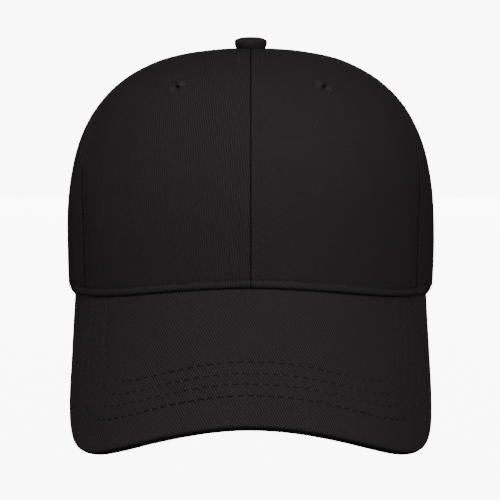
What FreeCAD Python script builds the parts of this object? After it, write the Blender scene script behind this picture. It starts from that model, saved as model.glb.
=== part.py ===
import FreeCAD, Part
import math
import os

# Structured six-panel baseball cap, in millimetres.
# Origin: centre of the head opening, in the plane of the hem. +Z up, the visor points to -Y.
# Left and right are the wearer's: left is +X.

os.makedirs("parts", exist_ok=True)
doc = FreeCAD.newDocument("baseball_cap")
Vector = FreeCAD.Vector

SIZES = [
    ("crown_half_width", 88.0, "ear to ear, outside, at the widest height"),
    ("crown_half_length", 102.2, "front to back, outside, at the widest height"),
    ("hem_draw_in", 1.0, "how much narrower the hem is than the widest height"),
    ("widest_height", 28.0, "height of the widest section above the hem"),
    ("crown_height", 119.0, "outside height of the crown above the hem"),
    ("front_fullness", 2.65, "superellipse exponent of the front and side profile"),
    ("rear_fullness", 2.25, "superellipse exponent of the rear profile"),
    ("crown_hole_radius", 2.5, "hole left where the panels meet under the button"),
    ("front_seam_angle", 62.0, "front to side seam, from the front, at the hem"),
    ("front_seam_bow", 15.0, "extra angle of that seam half way up"),
    ("rear_seam_angle", 122.0, "side to rear seam, from the front, at the hem"),
    ("rear_seam_bow", 6.0, "extra angle of that seam at the top"),
    ("seam_gap", 0.2, "gap between neighbouring panels"),
    ("layer_gap", 0.1, "gap between sewn layers"),
    ("panel_thick", 0.9, "twill panel"),
    ("buckram_thick", 0.6, "stiffener behind each front panel"),
    ("tape_depth", 1.7, "outer face of the seam tape below the crown's outer face"),
    ("tape_thick", 0.5, "seam tape"),
    ("tape_width", 14.0, "seam tape"),
    ("band_depth", 2.4, "outer face of the sweatband below the crown's outer face"),
    ("band_thick", 1.6, "sweatband"),
    ("band_tall", 31.0, "sweatband height"),
    ("visor_front_height", 14.4, "top of the visor where it meets the crown at the front"),
    ("visor_pitch", 46.4, "downward slope of the visor, degrees"),
    ("visor_flat_half_width", 106.5, "half width of the visor pattern laid flat"),
    ("visor_bend", 67.3, "angle turned from the middle of the visor to its side edge"),
    ("visor_bend_power", 0.92, "how the bend grows across the visor"),
    ("visor_reach", 70.4, "length of the visor pattern ahead of the crown"),
    ("visor_square_start", -5.0, "where the rounded front of the pattern begins"),
    ("visor_squareness", 3.44, "superellipse exponent of the visor's front edge"),
    ("visor_side_length", 31.0, "straight side of the pattern behind its rounded front"),
    ("visor_side_taper", 0.14, "inward curve of that side per thousand square mm"),
    ("visor_tuck", 4.0, "how far the visor reaches in under the crown"),
    ("cover_thick", 0.8, "fabric over and under the visor board"),
    ("board_thick", 2.0, "visor board"),
    ("board_inset", 0.9, "board edge inside the edge of its covers"),
    ("arch_half_width", 47.0, "rear opening at the hem"),
    ("arch_tall", 50.0, "rear opening"),
    ("binding_width", 8.0, "tape round the rear opening"),
    ("binding_thick", 0.6, "tape round the rear opening"),
    ("button_radius", 7.5, "covered button"),
    ("button_base_height", 119.4, "underside of the button cover"),
    ("button_cover_tall", 5.1, "covered button"),
    ("button_cover_thick", 0.6, "cloth over the button"),
    ("button_shell_thick", 0.5, "metal shell of the button"),
    ("rivet_radius", 1.4, "shank of the button"),
    ("base_radius", 5.2, "inner disc that the button is closed on"),
    ("base_tall", 0.9, "that disc"),
    ("eyelet_radius", 5.6, "embroidered ring"),
    ("eyelet_ring_tall", 0.5, "embroidered ring"),
    ("eyelet_barrel_radius", 2.6, "stitches through the panel"),
    ("eyelet_hole_radius", 1.0, "air hole"),
    ("strap_centre_back", 28.1, "centre of the strap arcs behind the origin"),
    ("hole_strap_radius", 72.2, "mid radius of the outer strap"),
    ("peg_strap_radius", 70.7, "mid radius of the inner strap"),
    ("strap_thick", 1.2, "snap straps"),
    ("strap_tall", 18.0, "snap straps"),
    ("strap_lift", 1.5, "bottom of the straps above the hem"),
    ("strap_pivot_side", 41.5, "strap roots either side of the middle"),
    ("snap_pitch", 6.5, "angle from one snap to the next, degrees"),
    ("peg_radius", 1.8, "snap peg"),
    ("peg_tall", 1.9, "snap peg above its strap"),
    ("snap_hole_radius", 2.7, "snap hole"),
    ("label_thick", 0.4, "care label"),
]

sheet = doc.addObject("Spreadsheet::Sheet", "Sizes")
for row, (alias, value, note) in enumerate(SIZES, start=1):
    sheet.set("A%d" % row, alias)
    sheet.set("B%d" % row, str(value))
    sheet.set("C%d" % row, note)
    sheet.setAlias("B%d" % row, alias)
doc.recompute()


def size(alias):
    return float(sheet.get(alias))


# ------------------------------------------------------------------ crown surface
# A place on the crown is an azimuth from the front in degrees, a level and a depth.
# Level -1 is the hem, 0 the widest height and 1 the top. Depth is measured inwards.

QUARTER = 90.0
HALF_TURN = 180.0
STEP = 1e-3  # step of the numerical derivatives


def eased(value):
    value = min(max(value, 0.0), 1.0)
    return value * value * (3.0 - 2.0 * value)


def fullness(azimuth):
    behind = eased((abs(azimuth) - QUARTER) / QUARTER)
    front, rear = size("front_fullness"), size("rear_fullness")
    return front + (rear - front) * behind


def crown_section(azimuth, level):
    """Half width, half length and height of the outer face at a level."""
    wide, long = size("crown_half_width"), size("crown_half_length")
    low, top = size("widest_height"), size("crown_height")
    if level <= 0:
        draw = size("hem_draw_in") * level * level
        return wide - draw, long - draw, low * (1.0 + level)
    turn = math.radians(QUARTER * min(level, 1.0))
    power = 2.0 / fullness(azimuth)
    shrink = max(math.cos(turn), 0.0) ** power
    return wide * shrink, long * shrink, low + (top - low) * math.sin(turn) ** power


def outer_point(azimuth, level):
    wide, long, height = crown_section(azimuth, level)
    turn = math.radians(azimuth)
    return Vector(wide * math.sin(turn), -long * math.cos(turn), height)


def crown_normal(azimuth, level):
    across = outer_point(azimuth + 1.0, level) - outer_point(azimuth - 1.0, level)
    upward = outer_point(azimuth, level + STEP) - outer_point(azimuth, level - STEP)
    return across.cross(upward).normalize()


def crown_point(azimuth, level, depth):
    return outer_point(azimuth, level) - crown_normal(azimuth, level) * depth


def level_at(azimuth, height):
    low, top = size("widest_height"), size("crown_height")
    if height <= low:
        return height / low - 1.0
    share = ((height - low) / (top - low)) ** (fullness(azimuth) / 2.0)
    return math.degrees(math.asin(min(share, 1.0))) / QUARTER


def level_at_radius(azimuth, radius):
    share = (radius / size("crown_half_width")) ** (fullness(azimuth) / 2.0)
    return math.degrees(math.acos(share)) / QUARTER


def degrees_per_mm(azimuth, level):
    wide, long, _ = crown_section(azimuth, level)
    turn = math.radians(azimuth)
    return math.degrees(1.0 / math.hypot(wide * math.cos(turn), long * math.sin(turn)))


# ------------------------------------------------------------------ visor surface
# The visor is a flat pattern (across, ahead) bent about a sloping line down its middle.

BEND_STEPS = 200
BEND_REACH = 1.15  # the bend is worked out this far past the pattern's side edge


def bend_table():
    """Flat distance from the middle, sideways reach and drop, for a bent half visor."""
    flat, bend = size("visor_flat_half_width"), math.radians(size("visor_bend"))
    power = size("visor_bend_power")
    rows = [(0.0, 0.0, 0.0)]
    step = flat * BEND_REACH / BEND_STEPS
    for index in range(BEND_STEPS):
        middle = (index + 0.5) * step
        turn = bend * (middle / flat) ** power
        _, side, drop = rows[-1]
        rows.append(((index + 1) * step, side + step * math.cos(turn), drop + step * math.sin(turn)))
    return rows


BEND = bend_table()


def look_up(value, key, wanted):
    """Straight-line look up in the bend table from one column to another."""
    value = min(max(value, BEND[0][key]), BEND[-1][key])
    for before, after in zip(BEND, BEND[1:]):
        if value <= after[key]:
            share = (value - before[key]) / (after[key] - before[key])
            return before[wanted] + (after[wanted] - before[wanted]) * share
    return BEND[-1][wanted]


def visor_surface(across, ahead, depth):
    """Point of the visor, depth below its top face."""
    pitch = math.radians(size("visor_pitch"))
    side = look_up(abs(across), 0, 1)
    drop = look_up(abs(across), 0, 2)
    share = abs(across) / size("visor_flat_half_width")
    turn = math.radians(size("visor_bend")) * share ** size("visor_bend_power")
    side -= depth * math.sin(turn)
    drop += depth * math.cos(turn)
    forward = size("crown_half_length") + ahead * math.cos(pitch) - drop * math.sin(pitch)
    height = size("visor_front_height") - ahead * math.sin(pitch) - drop * math.cos(pitch)
    return Vector(math.copysign(side, across), -forward, height)


def flat_place(side, forward):
    """Pattern place of the visor's top face above or below a place in plan."""
    pitch = math.radians(size("visor_pitch"))
    across = look_up(abs(side), 1, 0)
    drop = look_up(abs(side), 1, 2)
    ahead = (forward - size("crown_half_length") + drop * math.sin(pitch)) / math.cos(pitch)
    return math.copysign(across, side), ahead


def visor_height(side, forward):
    return visor_surface(*flat_place(side, forward), 0.0).z


HEM_BLEND = 1.0  # softens the corner where the crown edge leaves the visor
SEAM_REACH = 76.0  # past this azimuth the crown edge is the plain hem


def edge_height(azimuth, depth, clear):
    """Lowest height of a crown layer: on the visor in front, at the hem elsewhere."""
    if abs(azimuth) > SEAM_REACH:
        return clear
    height = size("visor_front_height")
    for _ in range(4):
        place = crown_point(azimuth, level_at(azimuth, height), depth)
        above = visor_height(place.x, -place.y) + clear
        height = 0.5 * (above + math.hypot(above, HEM_BLEND))
    return max(height, clear)


# ------------------------------------------------------------------ solids from surfaces

def surface_through(rows):
    surface = Part.BSplineSurface()
    surface.interpolate(rows)
    return surface


def solid_between(outer_rows, inner_rows):
    """Closed solid between two grids of points that have the same layout."""
    outer, inner = surface_through(outer_rows), surface_through(inner_rows)
    u_low, u_high, v_low, v_high = outer.bounds()
    a_low, a_high, b_low, b_high = inner.bounds()
    edges = [
        (outer.uIso(u_low), inner.uIso(a_low)),
        (outer.uIso(u_high), inner.uIso(a_high)),
        (outer.vIso(v_low), inner.vIso(b_low)),
        (outer.vIso(v_high), inner.vIso(b_high)),
    ]
    faces = [outer.toShape(), inner.toShape()]
    faces += [Part.makeRuledSurface(first.toShape(), second.toShape(), 1) for first, second in edges]
    sewn = Part.makeCompound(faces)
    sewn.sewShape()
    solid = Part.Solid(sewn.Shells[0])
    if solid.Volume < 0:
        solid.reverse()
    return solid


def layer(sides, levels, depth, thick, columns):
    """Crown layer between two azimuth curves, from its lowest to its highest level."""
    grids = []
    for face in (depth, depth + thick):
        grid = []
        for column in range(columns + 1):
            share = column / columns
            start, end = sides
            lowest = levels(start(-1.0) + (end(-1.0) - start(-1.0)) * share, face)
            points = []
            for level in lowest:
                azimuth = start(level) + (end(level) - start(level)) * share
                points.append(crown_point(azimuth, level, face))
            grid.append(points)
        grids.append(grid)
    return solid_between(*grids)


BAND_ROWS = 4
DOME_ROWS = 15
DOME_SPREAD = 1.3  # rows are closer together near the widest height


def full_levels(top_radius, clear):
    """Levels from the crown's edge up to a small circle round the top."""
    def levels(azimuth, face):
        low = level_at(azimuth, edge_height(azimuth, face, clear))
        top = level_at_radius(azimuth, top_radius)
        band = [low * (1.0 - index / BAND_ROWS) for index in range(BAND_ROWS)]
        dome = [top * (index / DOME_ROWS) ** DOME_SPREAD for index in range(DOME_ROWS + 1)]
        return band + dome
    return levels


def height_levels(bottom, tall, rows):
    """Levels of a band of even height, standing on the crown's edge or at a height."""
    def levels(azimuth, face):
        low = edge_height(azimuth, face, bottom) if abs(azimuth) < SEAM_REACH else bottom
        return [level_at(azimuth, low + tall * index / rows) for index in range(rows + 1)]
    return levels


BOW_POWER = 1.5


def front_seam(level):
    rise = math.sin(math.pi * min(max(level, 0.0), 1.0)) ** BOW_POWER
    return size("front_seam_angle") + size("front_seam_bow") * rise


def rear_seam(level):
    return size("rear_seam_angle") + size("rear_seam_bow") * max(level, 0.0) ** 2


def seam_curve(seam, offset):
    """Azimuth curve that runs beside a seam at a distance in mm."""
    return lambda level: seam(level) + offset(level) * degrees_per_mm(seam(level), level)


def mirrored(curve):
    return lambda level: -curve(level)


def front_middle(level):
    return 0.0


def rear_middle(level):
    return HALF_TURN


def soft(label, shape):
    """A sewn piece whose shape is worked out from the sizes."""
    piece = doc.addObject("Part::Feature", label)
    piece.Label = label
    piece.Shape = shape
    piece.Placement = FreeCAD.Placement()
    return piece


def both_sides(stem, shape):
    """The left piece and its mirror image on the right."""
    plane_normal = Vector(1, 0, 0)
    soft(stem + "_left", shape)
    soft(stem + "_right", shape.mirror(Vector(0, 0, 0), plane_normal))


# ------------------------------------------------------------------ rear opening

NEAR_BACK, FAR_BACK = 40.0, 160.0


def arch_tool(grow):
    """Elliptical bar along Y that cuts the rear opening, grown by a distance."""
    half_width, tall = size("arch_half_width") + grow, size("arch_tall") + grow
    ellipse = Part.Ellipse(Vector(0, 0, tall), Vector(half_width, 0, 0), Vector(0, 0, 0))
    face = Part.Face(Part.Wire(ellipse.toShape()))
    face.translate(Vector(0, NEAR_BACK, 0))
    return face.extrude(Vector(0, FAR_BACK - NEAR_BACK, 0))


# ------------------------------------------------------------------ crown panels

half_gap = size("seam_gap") / 2


def gap_after(level):
    return half_gap


def gap_before(level):
    return -half_gap


panel_levels = full_levels(size("crown_hole_radius"), size("layer_gap"))

AIR_HOLES = {"front": (32.1, 0.562), "side": (101.0, 0.56), "rear": (154.0, 0.56)}


def air_hole_frame(place):
    """Placement with its Z axis out of the crown at an air hole."""
    azimuth, level = AIR_HOLES[place]
    normal = crown_normal(azimuth, level)
    return FreeCAD.Placement(outer_point(azimuth, level), FreeCAD.Rotation(Vector(0, 0, 1), normal))


HOLE_REACH = 3.0
BARREL_CLEARANCE = 0.2


def air_hole_tool(place, radius):
    tool = Part.makeCylinder(radius, 2 * HOLE_REACH, Vector(0, 0, -HOLE_REACH))
    tool.Placement = air_hole_frame(place)
    return tool


panel_edges = {
    "front": (seam_curve(front_middle, gap_after), seam_curve(front_seam, gap_before)),
    "side": (seam_curve(front_seam, gap_after), seam_curve(rear_seam, gap_before)),
    "rear": (seam_curve(rear_seam, gap_after), seam_curve(rear_middle, gap_before)),
}
PANEL_COLUMNS = 14
sewn_hole = size("eyelet_barrel_radius") + BARREL_CLEARANCE
for place, edges in panel_edges.items():
    panel = layer(edges, panel_levels, 0.0, size("panel_thick"), PANEL_COLUMNS)
    panel = panel.cut(air_hole_tool(place, sewn_hole))
    if place == "rear":
        panel = panel.cut(arch_tool(0.0))
    both_sides(place + "_panel", panel)

# Stiffener behind each front panel, a little inside its edges.
BUCKRAM_MARGIN = 5.0
BUCKRAM_TOP_RADIUS = 22.0
BUCKRAM_CLEARANCE = 2.0
buckram_edges = (
    seam_curve(front_middle, lambda level: BUCKRAM_MARGIN),
    seam_curve(front_seam, lambda level: -BUCKRAM_MARGIN),
)
buckram_depth = size("panel_thick") + size("layer_gap")
buckram = layer(buckram_edges, full_levels(BUCKRAM_TOP_RADIUS, BUCKRAM_CLEARANCE), buckram_depth,
                size("buckram_thick"), PANEL_COLUMNS)
buckram = buckram.cut(air_hole_tool("front", sewn_hole))
both_sides("buckram", buckram)

# Seam tapes over the seams inside, tapering where they meet at the top.
TAPE_COLUMNS = 4
TAPE_TAPER = 0.3
TAPE_TOP_RADIUS = 9.0
TAPE_CLEARANCE = 0.6


def tape_half_width(level):
    radius = crown_section(0.0, level)[0]
    return min(size("tape_width") / 2, TAPE_TAPER * radius)


def tape(seam):
    edges = (
        seam_curve(seam, lambda level: -tape_half_width(level)),
        seam_curve(seam, tape_half_width),
    )
    return layer(edges, full_levels(TAPE_TOP_RADIUS, TAPE_CLEARANCE), size("tape_depth"), size("tape_thick"),
                 TAPE_COLUMNS)


soft("seam_tape_front_centre", tape(front_middle))
both_sides("seam_tape_front", tape(front_seam))
both_sides("seam_tape_rear", tape(rear_seam))
soft("seam_tape_rear_centre", tape(rear_middle).cut(arch_tool(1.0)))

# Tape that binds the edge of the rear opening, above the strap roots.
BINDING_SIDE = 140.0
BINDING_TALL = 62.0
BINDING_COLUMNS, BINDING_ROWS = 16, 10
BINDING_CLEARANCE = 0.3
ROOT_CLEARANCE = 2.0
strap_top = size("strap_lift") + size("strap_tall")
binding_edges = (lambda level: BINDING_SIDE, lambda level: 2 * HALF_TURN - BINDING_SIDE)
binding_levels = height_levels(strap_top + ROOT_CLEARANCE, BINDING_TALL - strap_top, BINDING_ROWS)
binding_sheet = layer(binding_edges, binding_levels, size("panel_thick") + size("layer_gap"),
                      size("binding_thick"), BINDING_COLUMNS)
binding_ring = arch_tool(size("binding_width")).cut(arch_tool(BINDING_CLEARANCE))
soft("opening_binding", binding_sheet.common(binding_ring))

# ------------------------------------------------------------------ sweatband and label

BAND_SIDE = 160.0
BAND_CLEARANCE = 0.3
BAND_COLUMNS, BAND_HEIGHT_ROWS = 80, 8
BAND_SHORTENING = 4.0  # the band stops this far outside the opening's edge
band_edges = (lambda level: -BAND_SIDE, lambda level: BAND_SIDE)
band_levels = height_levels(BAND_CLEARANCE, size("band_tall"), BAND_HEIGHT_ROWS)
band = layer(band_edges, band_levels, size("band_depth"), size("band_thick"), BAND_COLUMNS)
soft("sweatband", band.cut(arch_tool(BAND_SHORTENING)))

LABEL_FROM, LABEL_TO = 92.0, 106.0
LABEL_BOTTOM, LABEL_TALL = 6.0, 22.0
LABEL_ROWS = 4
label_edges = (lambda level: LABEL_FROM, lambda level: LABEL_TO)
label_depth = size("band_depth") + size("band_thick") + size("layer_gap") * 3
soft("care_label", layer(label_edges, height_levels(LABEL_BOTTOM, LABEL_TALL, LABEL_ROWS),
                         label_depth, size("label_thick"), LABEL_ROWS))

# ------------------------------------------------------------------ visor

OUTLINE_ROUND = 60
OUTLINE_SIDE = 24
VISOR_COLUMNS = 56
VISOR_ROWS = 8
TIP_AZIMUTH = 68.5


def pattern_outline(inset):
    """Half outline of the flat pattern from the front middle to the tip, set in by a distance."""
    wide, reach = size("visor_flat_half_width"), size("visor_reach")
    start, power = size("visor_square_start"), 2.0 / size("visor_squareness")
    places = []
    for index in range(OUTLINE_ROUND + 1):
        turn = math.pi / 2 * index / OUTLINE_ROUND
        ahead = start + (reach - start) * max(math.cos(turn), 0.0) ** power
        places.append((wide * math.sin(turn) ** power, ahead))
    for index in range(1, OUTLINE_SIDE + 1):
        back = size("visor_side_length") * index / OUTLINE_SIDE
        places.append((wide - size("visor_side_taper") * back * back / 1000.0, start - back))
    moved = []
    for index, (across, ahead) in enumerate(places):
        before, after = places[max(index - 1, 0)], places[min(index + 1, len(places) - 1)]
        run, rise = after[0] - before[0], after[1] - before[1]
        length = math.hypot(run, rise)
        moved.append((across + inset * rise / length, ahead - inset * run / length))
    moved[0] = (0.0, places[0][1] - inset)
    return moved


def evenly(places, count):
    """Places spaced evenly along a line of places."""
    lengths = [0.0]
    for before, after in zip(places, places[1:]):
        lengths.append(lengths[-1] + math.dist(before, after))
    result = []
    for index in range(count + 1):
        wanted = lengths[-1] * index / count
        leg = 0
        while leg < len(places) - 2 and lengths[leg + 1] < wanted:
            leg += 1
        share = (wanted - lengths[leg]) / (lengths[leg + 1] - lengths[leg])
        (x0, y0), (x1, y1) = places[leg], places[leg + 1]
        result.append((x0 + (x1 - x0) * share, y0 + (y1 - y0) * share))
    return result


def visor_layer(depth, thick, inset):
    """Layer of the visor from under the crown out to its edge."""
    half = VISOR_COLUMNS // 2
    rim = evenly(pattern_outline(inset), half)
    seam = []
    for index in range(half + 1):
        azimuth = TIP_AZIMUTH * index / half
        place = crown_point(azimuth, level_at(azimuth, size("visor_front_height")), size("visor_tuck"))
        seam.append(flat_place(place.x, -place.y))
    seam = evenly(seam, half)
    grids = []
    for face in (depth, depth + thick):
        grid = []
        for column in range(-half, half + 1):
            sign = -1.0 if column < 0 else 1.0
            inner, outer = seam[abs(column)], rim[abs(column)]
            points = []
            for row in range(VISOR_ROWS + 1):
                share = row / VISOR_ROWS
                across = inner[0] + (outer[0] - inner[0]) * share
                ahead = inner[1] + (outer[1] - inner[1]) * share
                points.append(visor_surface(sign * across, ahead, face))
            grid.append(points)
        grids.append(grid)
    return solid_between(*grids)


board_depth = size("cover_thick") + size("layer_gap")
under_depth = board_depth + size("board_thick") + size("layer_gap")
soft("visor_top_cover", visor_layer(0.0, size("cover_thick"), 0.0))
soft("visor_board", visor_layer(board_depth, size("board_thick"), size("board_inset")))
soft("visor_under_cover", visor_layer(under_depth, size("cover_thick"), 0.0))

# ------------------------------------------------------------------ turned and moulded pieces


def bind(piece, **sizes):
    for key, expression in sizes.items():
        piece.setExpression(key, expression)


def cylinder(name, radius, tall, placement, sweep=None):
    piece = doc.addObject("Part::Cylinder", name)
    bind(piece, Radius=radius, Height=tall)
    if sweep is not None:
        piece.Angle = sweep
    piece.Placement = placement
    return piece


def cut(name, base, tool):
    piece = doc.addObject("Part::Cut", name)
    piece.Base, piece.Tool = base, tool
    return piece


def fuse(name, pieces):
    piece = doc.addObject("Part::MultiFuse", name)
    piece.Shapes = pieces
    piece.Refine = True
    return piece


def upright(height, side=0.0, back=0.0):
    return FreeCAD.Placement(Vector(side, back, height), FreeCAD.Rotation())


def dome_blank(name, radius, tall, base_height, round_radius):
    """Short cylinder with a rounded top edge."""
    blank = cylinder(name + "_blank", radius, tall, upright(base_height))
    doc.recompute()
    top_edge = max(range(len(blank.Shape.Edges)), key=lambda i: blank.Shape.Edges[i].CenterOfMass.z)
    rounded = doc.addObject("Part::Fillet", name + "_rounded")
    rounded.Base = blank
    rounded.Edges = [(top_edge + 1, round_radius, round_radius)]
    return rounded


BUTTON_ROUNDING = 2.7
base_height = size("button_base_height")
cover_thick, shell_thick = size("button_cover_thick"), size("button_shell_thick")
shell_gap = size("layer_gap")

cover_out = dome_blank("cover_out", "Sizes.button_radius", "Sizes.button_cover_tall", base_height,
                       BUTTON_ROUNDING)
cover_in = dome_blank("cover_in", "Sizes.button_radius - Sizes.button_cover_thick",
                      "Sizes.button_cover_tall - Sizes.button_cover_thick", base_height,
                      BUTTON_ROUNDING - cover_thick)
cut("button_cover", cover_out, cover_in)

shell_out = dome_blank(
    "shell_out", "Sizes.button_radius - Sizes.button_cover_thick - Sizes.layer_gap",
    "Sizes.button_cover_tall - Sizes.button_cover_thick - Sizes.layer_gap", base_height,
    BUTTON_ROUNDING - cover_thick - shell_gap)
shell_in = dome_blank(
    "shell_in",
    "Sizes.button_radius - Sizes.button_cover_thick - Sizes.layer_gap - Sizes.button_shell_thick",
    "Sizes.button_cover_tall - Sizes.button_cover_thick - Sizes.layer_gap - Sizes.button_shell_thick",
    base_height, BUTTON_ROUNDING - cover_thick - shell_gap - shell_thick)
cut("button_shell", shell_out, shell_in)

# The rivet's flange sits inside the shell and its shank passes down through the crown.
FLANGE_TALL = 0.8
FLANGE_RADIUS = 5.0
FLANGE_LIFT = 0.2
SHANK_BOTTOM = 115.6
BASE_DROP = 0.35
flange = doc.addObject("Part::Cylinder", "rivet_flange")
flange.Radius, flange.Height = FLANGE_RADIUS, FLANGE_TALL
flange.Placement = upright(base_height + FLANGE_LIFT)
shank = doc.addObject("Part::Cylinder", "rivet_shank")
bind(shank, Radius="Sizes.rivet_radius")
shank.Height = base_height + FLANGE_LIFT + FLANGE_TALL / 2 - SHANK_BOTTOM
shank.Placement = upright(SHANK_BOTTOM)
fuse("button_rivet", [flange, shank])

disc_height = size("crown_height") - size("panel_thick") - BASE_DROP - size("base_tall")
disc = cylinder("base_disc", "Sizes.base_radius", "Sizes.base_tall", upright(disc_height))
disc_hole = cylinder("base_disc_hole", "Sizes.rivet_radius + Sizes.layer_gap", "3 * Sizes.base_tall",
                     upright(disc_height - 1.0))
cut("button_base", disc, disc_hole)

# Embroidered air holes: a flat ring outside and a short barrel of stitches through the panel.
RING_LIFT = 0.3
BARREL_DEPTH = 1.6


def eyelet(place, side):
    frame = air_hole_frame(place)
    if side == "right":
        axis = frame.Rotation.multVec(Vector(0, 0, 1))
        base = frame.Base
        frame = FreeCAD.Placement(
            Vector(-base.x, base.y, base.z),
            FreeCAD.Rotation(Vector(0, 0, 1), Vector(-axis.x, axis.y, axis.z)))
    name = "eyelet_%s_%s" % (place, side)
    ring = cylinder(name + "_ring", "Sizes.eyelet_radius", "Sizes.eyelet_ring_tall",
                    frame.multiply(upright(RING_LIFT)))
    barrel = cylinder(name + "_barrel", "Sizes.eyelet_barrel_radius",
                      "%s + Sizes.eyelet_ring_tall / 2" % (BARREL_DEPTH + RING_LIFT),
                      frame.multiply(upright(-BARREL_DEPTH)))
    hole = cylinder(name + "_hole", "Sizes.eyelet_hole_radius", "%s" % (2 * HOLE_REACH),
                    frame.multiply(upright(-HOLE_REACH)))
    cut(name, fuse(name + "_thread", [ring, barrel]), hole)


for place in AIR_HOLES:
    for side in ("left", "right"):
        eyelet(place, side)

# ------------------------------------------------------------------ snap straps

# The straps lie on two arcs about one centre. Angles run from straight back towards the left.
PEG_NUMBERS = range(-2, 4)
HOLE_NUMBERS = range(-4, 3)
HOLE_STRAP_END = 16.9
PEG_STRAP_END = -16.6
ROOT_GAP = 0.3
HOLE_MARGIN = 2.0
centre_back = size("strap_centre_back")
lift, tall, thick = size("strap_lift"), size("strap_tall"), size("strap_thick")
mid_height = lift + tall / 2


def on_arc(radius, angle):
    turn = math.radians(angle)
    return radius * math.sin(turn), centre_back + radius * math.cos(turn)


def radial(name, start_radius, angle, length, radius):
    """Small cylinder that points straight out from the strap centre."""
    side, back = on_arc(start_radius, angle)
    turn = FreeCAD.Rotation(Vector(0, 0, 1), Vector(*on_arc(1.0, angle), 0) - Vector(0, centre_back, 0))
    piece = doc.addObject("Part::Cylinder", name)
    bind(piece, Radius=radius)
    piece.Height = length
    piece.Placement = FreeCAD.Placement(Vector(side, back, mid_height), turn)
    return piece


def arc_strip(name, radius_name, low_angle, high_angle):
    """Strip of strap between two angles."""
    turn = FreeCAD.Rotation(Vector(0, 0, 1), QUARTER - high_angle)
    place = FreeCAD.Placement(Vector(0, centre_back, lift), turn)
    sweep = high_angle - low_angle
    outer = cylinder(name + "_outer", "%s + Sizes.strap_thick / 2" % radius_name, "Sizes.strap_tall",
                     place, sweep)
    inner = cylinder(name + "_inner", "%s - Sizes.strap_thick / 2" % radius_name, "Sizes.strap_tall",
                     place, sweep)
    return cut(name + "_strip", outer, inner)


def pivot_angle(radius):
    return math.degrees(math.asin(size("strap_pivot_side") / radius))


def root(name, radius, angle):
    """Rounded end of a strap about its own root line."""
    side, back = on_arc(radius, angle)
    return cylinder(name + "_root", "Sizes.strap_thick / 2", "Sizes.strap_tall",
                    upright(lift, side, back))


hole_radius, peg_radius = size("hole_strap_radius"), size("peg_strap_radius")
hole_pivot, peg_pivot = -pivot_angle(hole_radius), pivot_angle(peg_radius)
pitch = size("snap_pitch")

hole_blank = fuse("hole_strap_blank", [
    arc_strip("hole_strap", "Sizes.hole_strap_radius", hole_pivot, HOLE_STRAP_END),
    root("hole_strap", hole_radius, hole_pivot),
])
holes = [radial("snap_hole_%d" % count, hole_radius - HOLE_MARGIN, number * pitch, 2 * HOLE_MARGIN,
                "Sizes.snap_hole_radius") for count, number in enumerate(HOLE_NUMBERS)]
cut("hole_strap", hole_blank, fuse("snap_holes", holes))

pegs = [radial("snap_peg_%d" % count, peg_radius, number * pitch, thick / 2 + size("peg_tall"),
               "Sizes.peg_radius") for count, number in enumerate(PEG_NUMBERS)]
fuse("peg_strap", [
    arc_strip("peg_strap", "Sizes.peg_strap_radius", PEG_STRAP_END, peg_pivot),
    root("peg_strap", peg_radius, peg_pivot),
] + pegs)

# Sewn tabs: a flat end between the rear panel and the sweatband, and a neck to the strap's root.
TAB_START = 147.5
TAB_END = 135.0
TAB_OVERLAP = 1.0
TAB_ROWS, TAB_COLUMNS = 2, 6
tab_depth = size("panel_thick") + size("layer_gap") * 2


def strap_tab(label, radius, angle, side_sign):
    edges = (lambda level: side_sign * TAB_END, lambda level: side_sign * TAB_START)
    flat = layer(edges, height_levels(lift, tall, TAB_ROWS), tab_depth, thick, TAB_COLUMNS)
    pivot = Vector(*on_arc(radius, angle), lift)
    target = crown_point(side_sign * (TAB_START - TAB_OVERLAP), level_at(TAB_START, lift),
                         tab_depth + thick / 2)
    heading = Vector(target.x - pivot.x, target.y - pivot.y, 0)
    neck = Part.makeBox(heading.Length, thick, tall, Vector(0, -thick / 2, 0))
    neck.Placement = FreeCAD.Placement(pivot, FreeCAD.Rotation(Vector(1, 0, 0), heading))
    socket = Part.makeCylinder(thick / 2 + ROOT_GAP, tall, pivot)
    soft(label, flat.fuse(neck).cut(socket).removeSplitter())


strap_tab("hole_strap_tab", hole_radius, hole_pivot, -1.0)
strap_tab("peg_strap_tab", peg_radius, peg_pivot, 1.0)

# ------------------------------------------------------------------ check and export

NODES = (
    ["%s_panel_%s" % (place, side) for place in panel_edges for side in ("left", "right")]
    + ["buckram_left", "buckram_right", "seam_tape_front_centre", "seam_tape_rear_centre"]
    + ["seam_tape_%s_%s" % (place, side) for place in ("front", "rear") for side in ("left", "right")]
    + ["opening_binding", "sweatband", "care_label"]
    + ["visor_top_cover", "visor_board", "visor_under_cover"]
    + ["button_cover", "button_shell", "button_rivet", "button_base"]
    + ["eyelet_%s_%s" % (place, side) for place in AIR_HOLES for side in ("left", "right")]
    + ["hole_strap", "hole_strap_tab", "peg_strap", "peg_strap_tab"]
)

doc.recompute()
for item in doc.Objects:
    if "Invalid" in item.State or "Error" in item.State:
        raise RuntimeError("%s did not recompute" % item.Name)
for node in NODES:
    shape = doc.getObject(node).Shape
    if shape.isNull() or not shape.isValid():
        raise RuntimeError("%s has a bad shape" % node)
    if len(shape.Solids) != 1:
        raise RuntimeError("%s has %d solids" % (node, len(shape.Solids)))
    doc.getObject(node).Shape.exportStep("parts/%s.step" % node)
print("%d nodes exported" % len(NODES))
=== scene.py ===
import math

import bpy
import numpy as np
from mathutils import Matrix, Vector, noise


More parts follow.
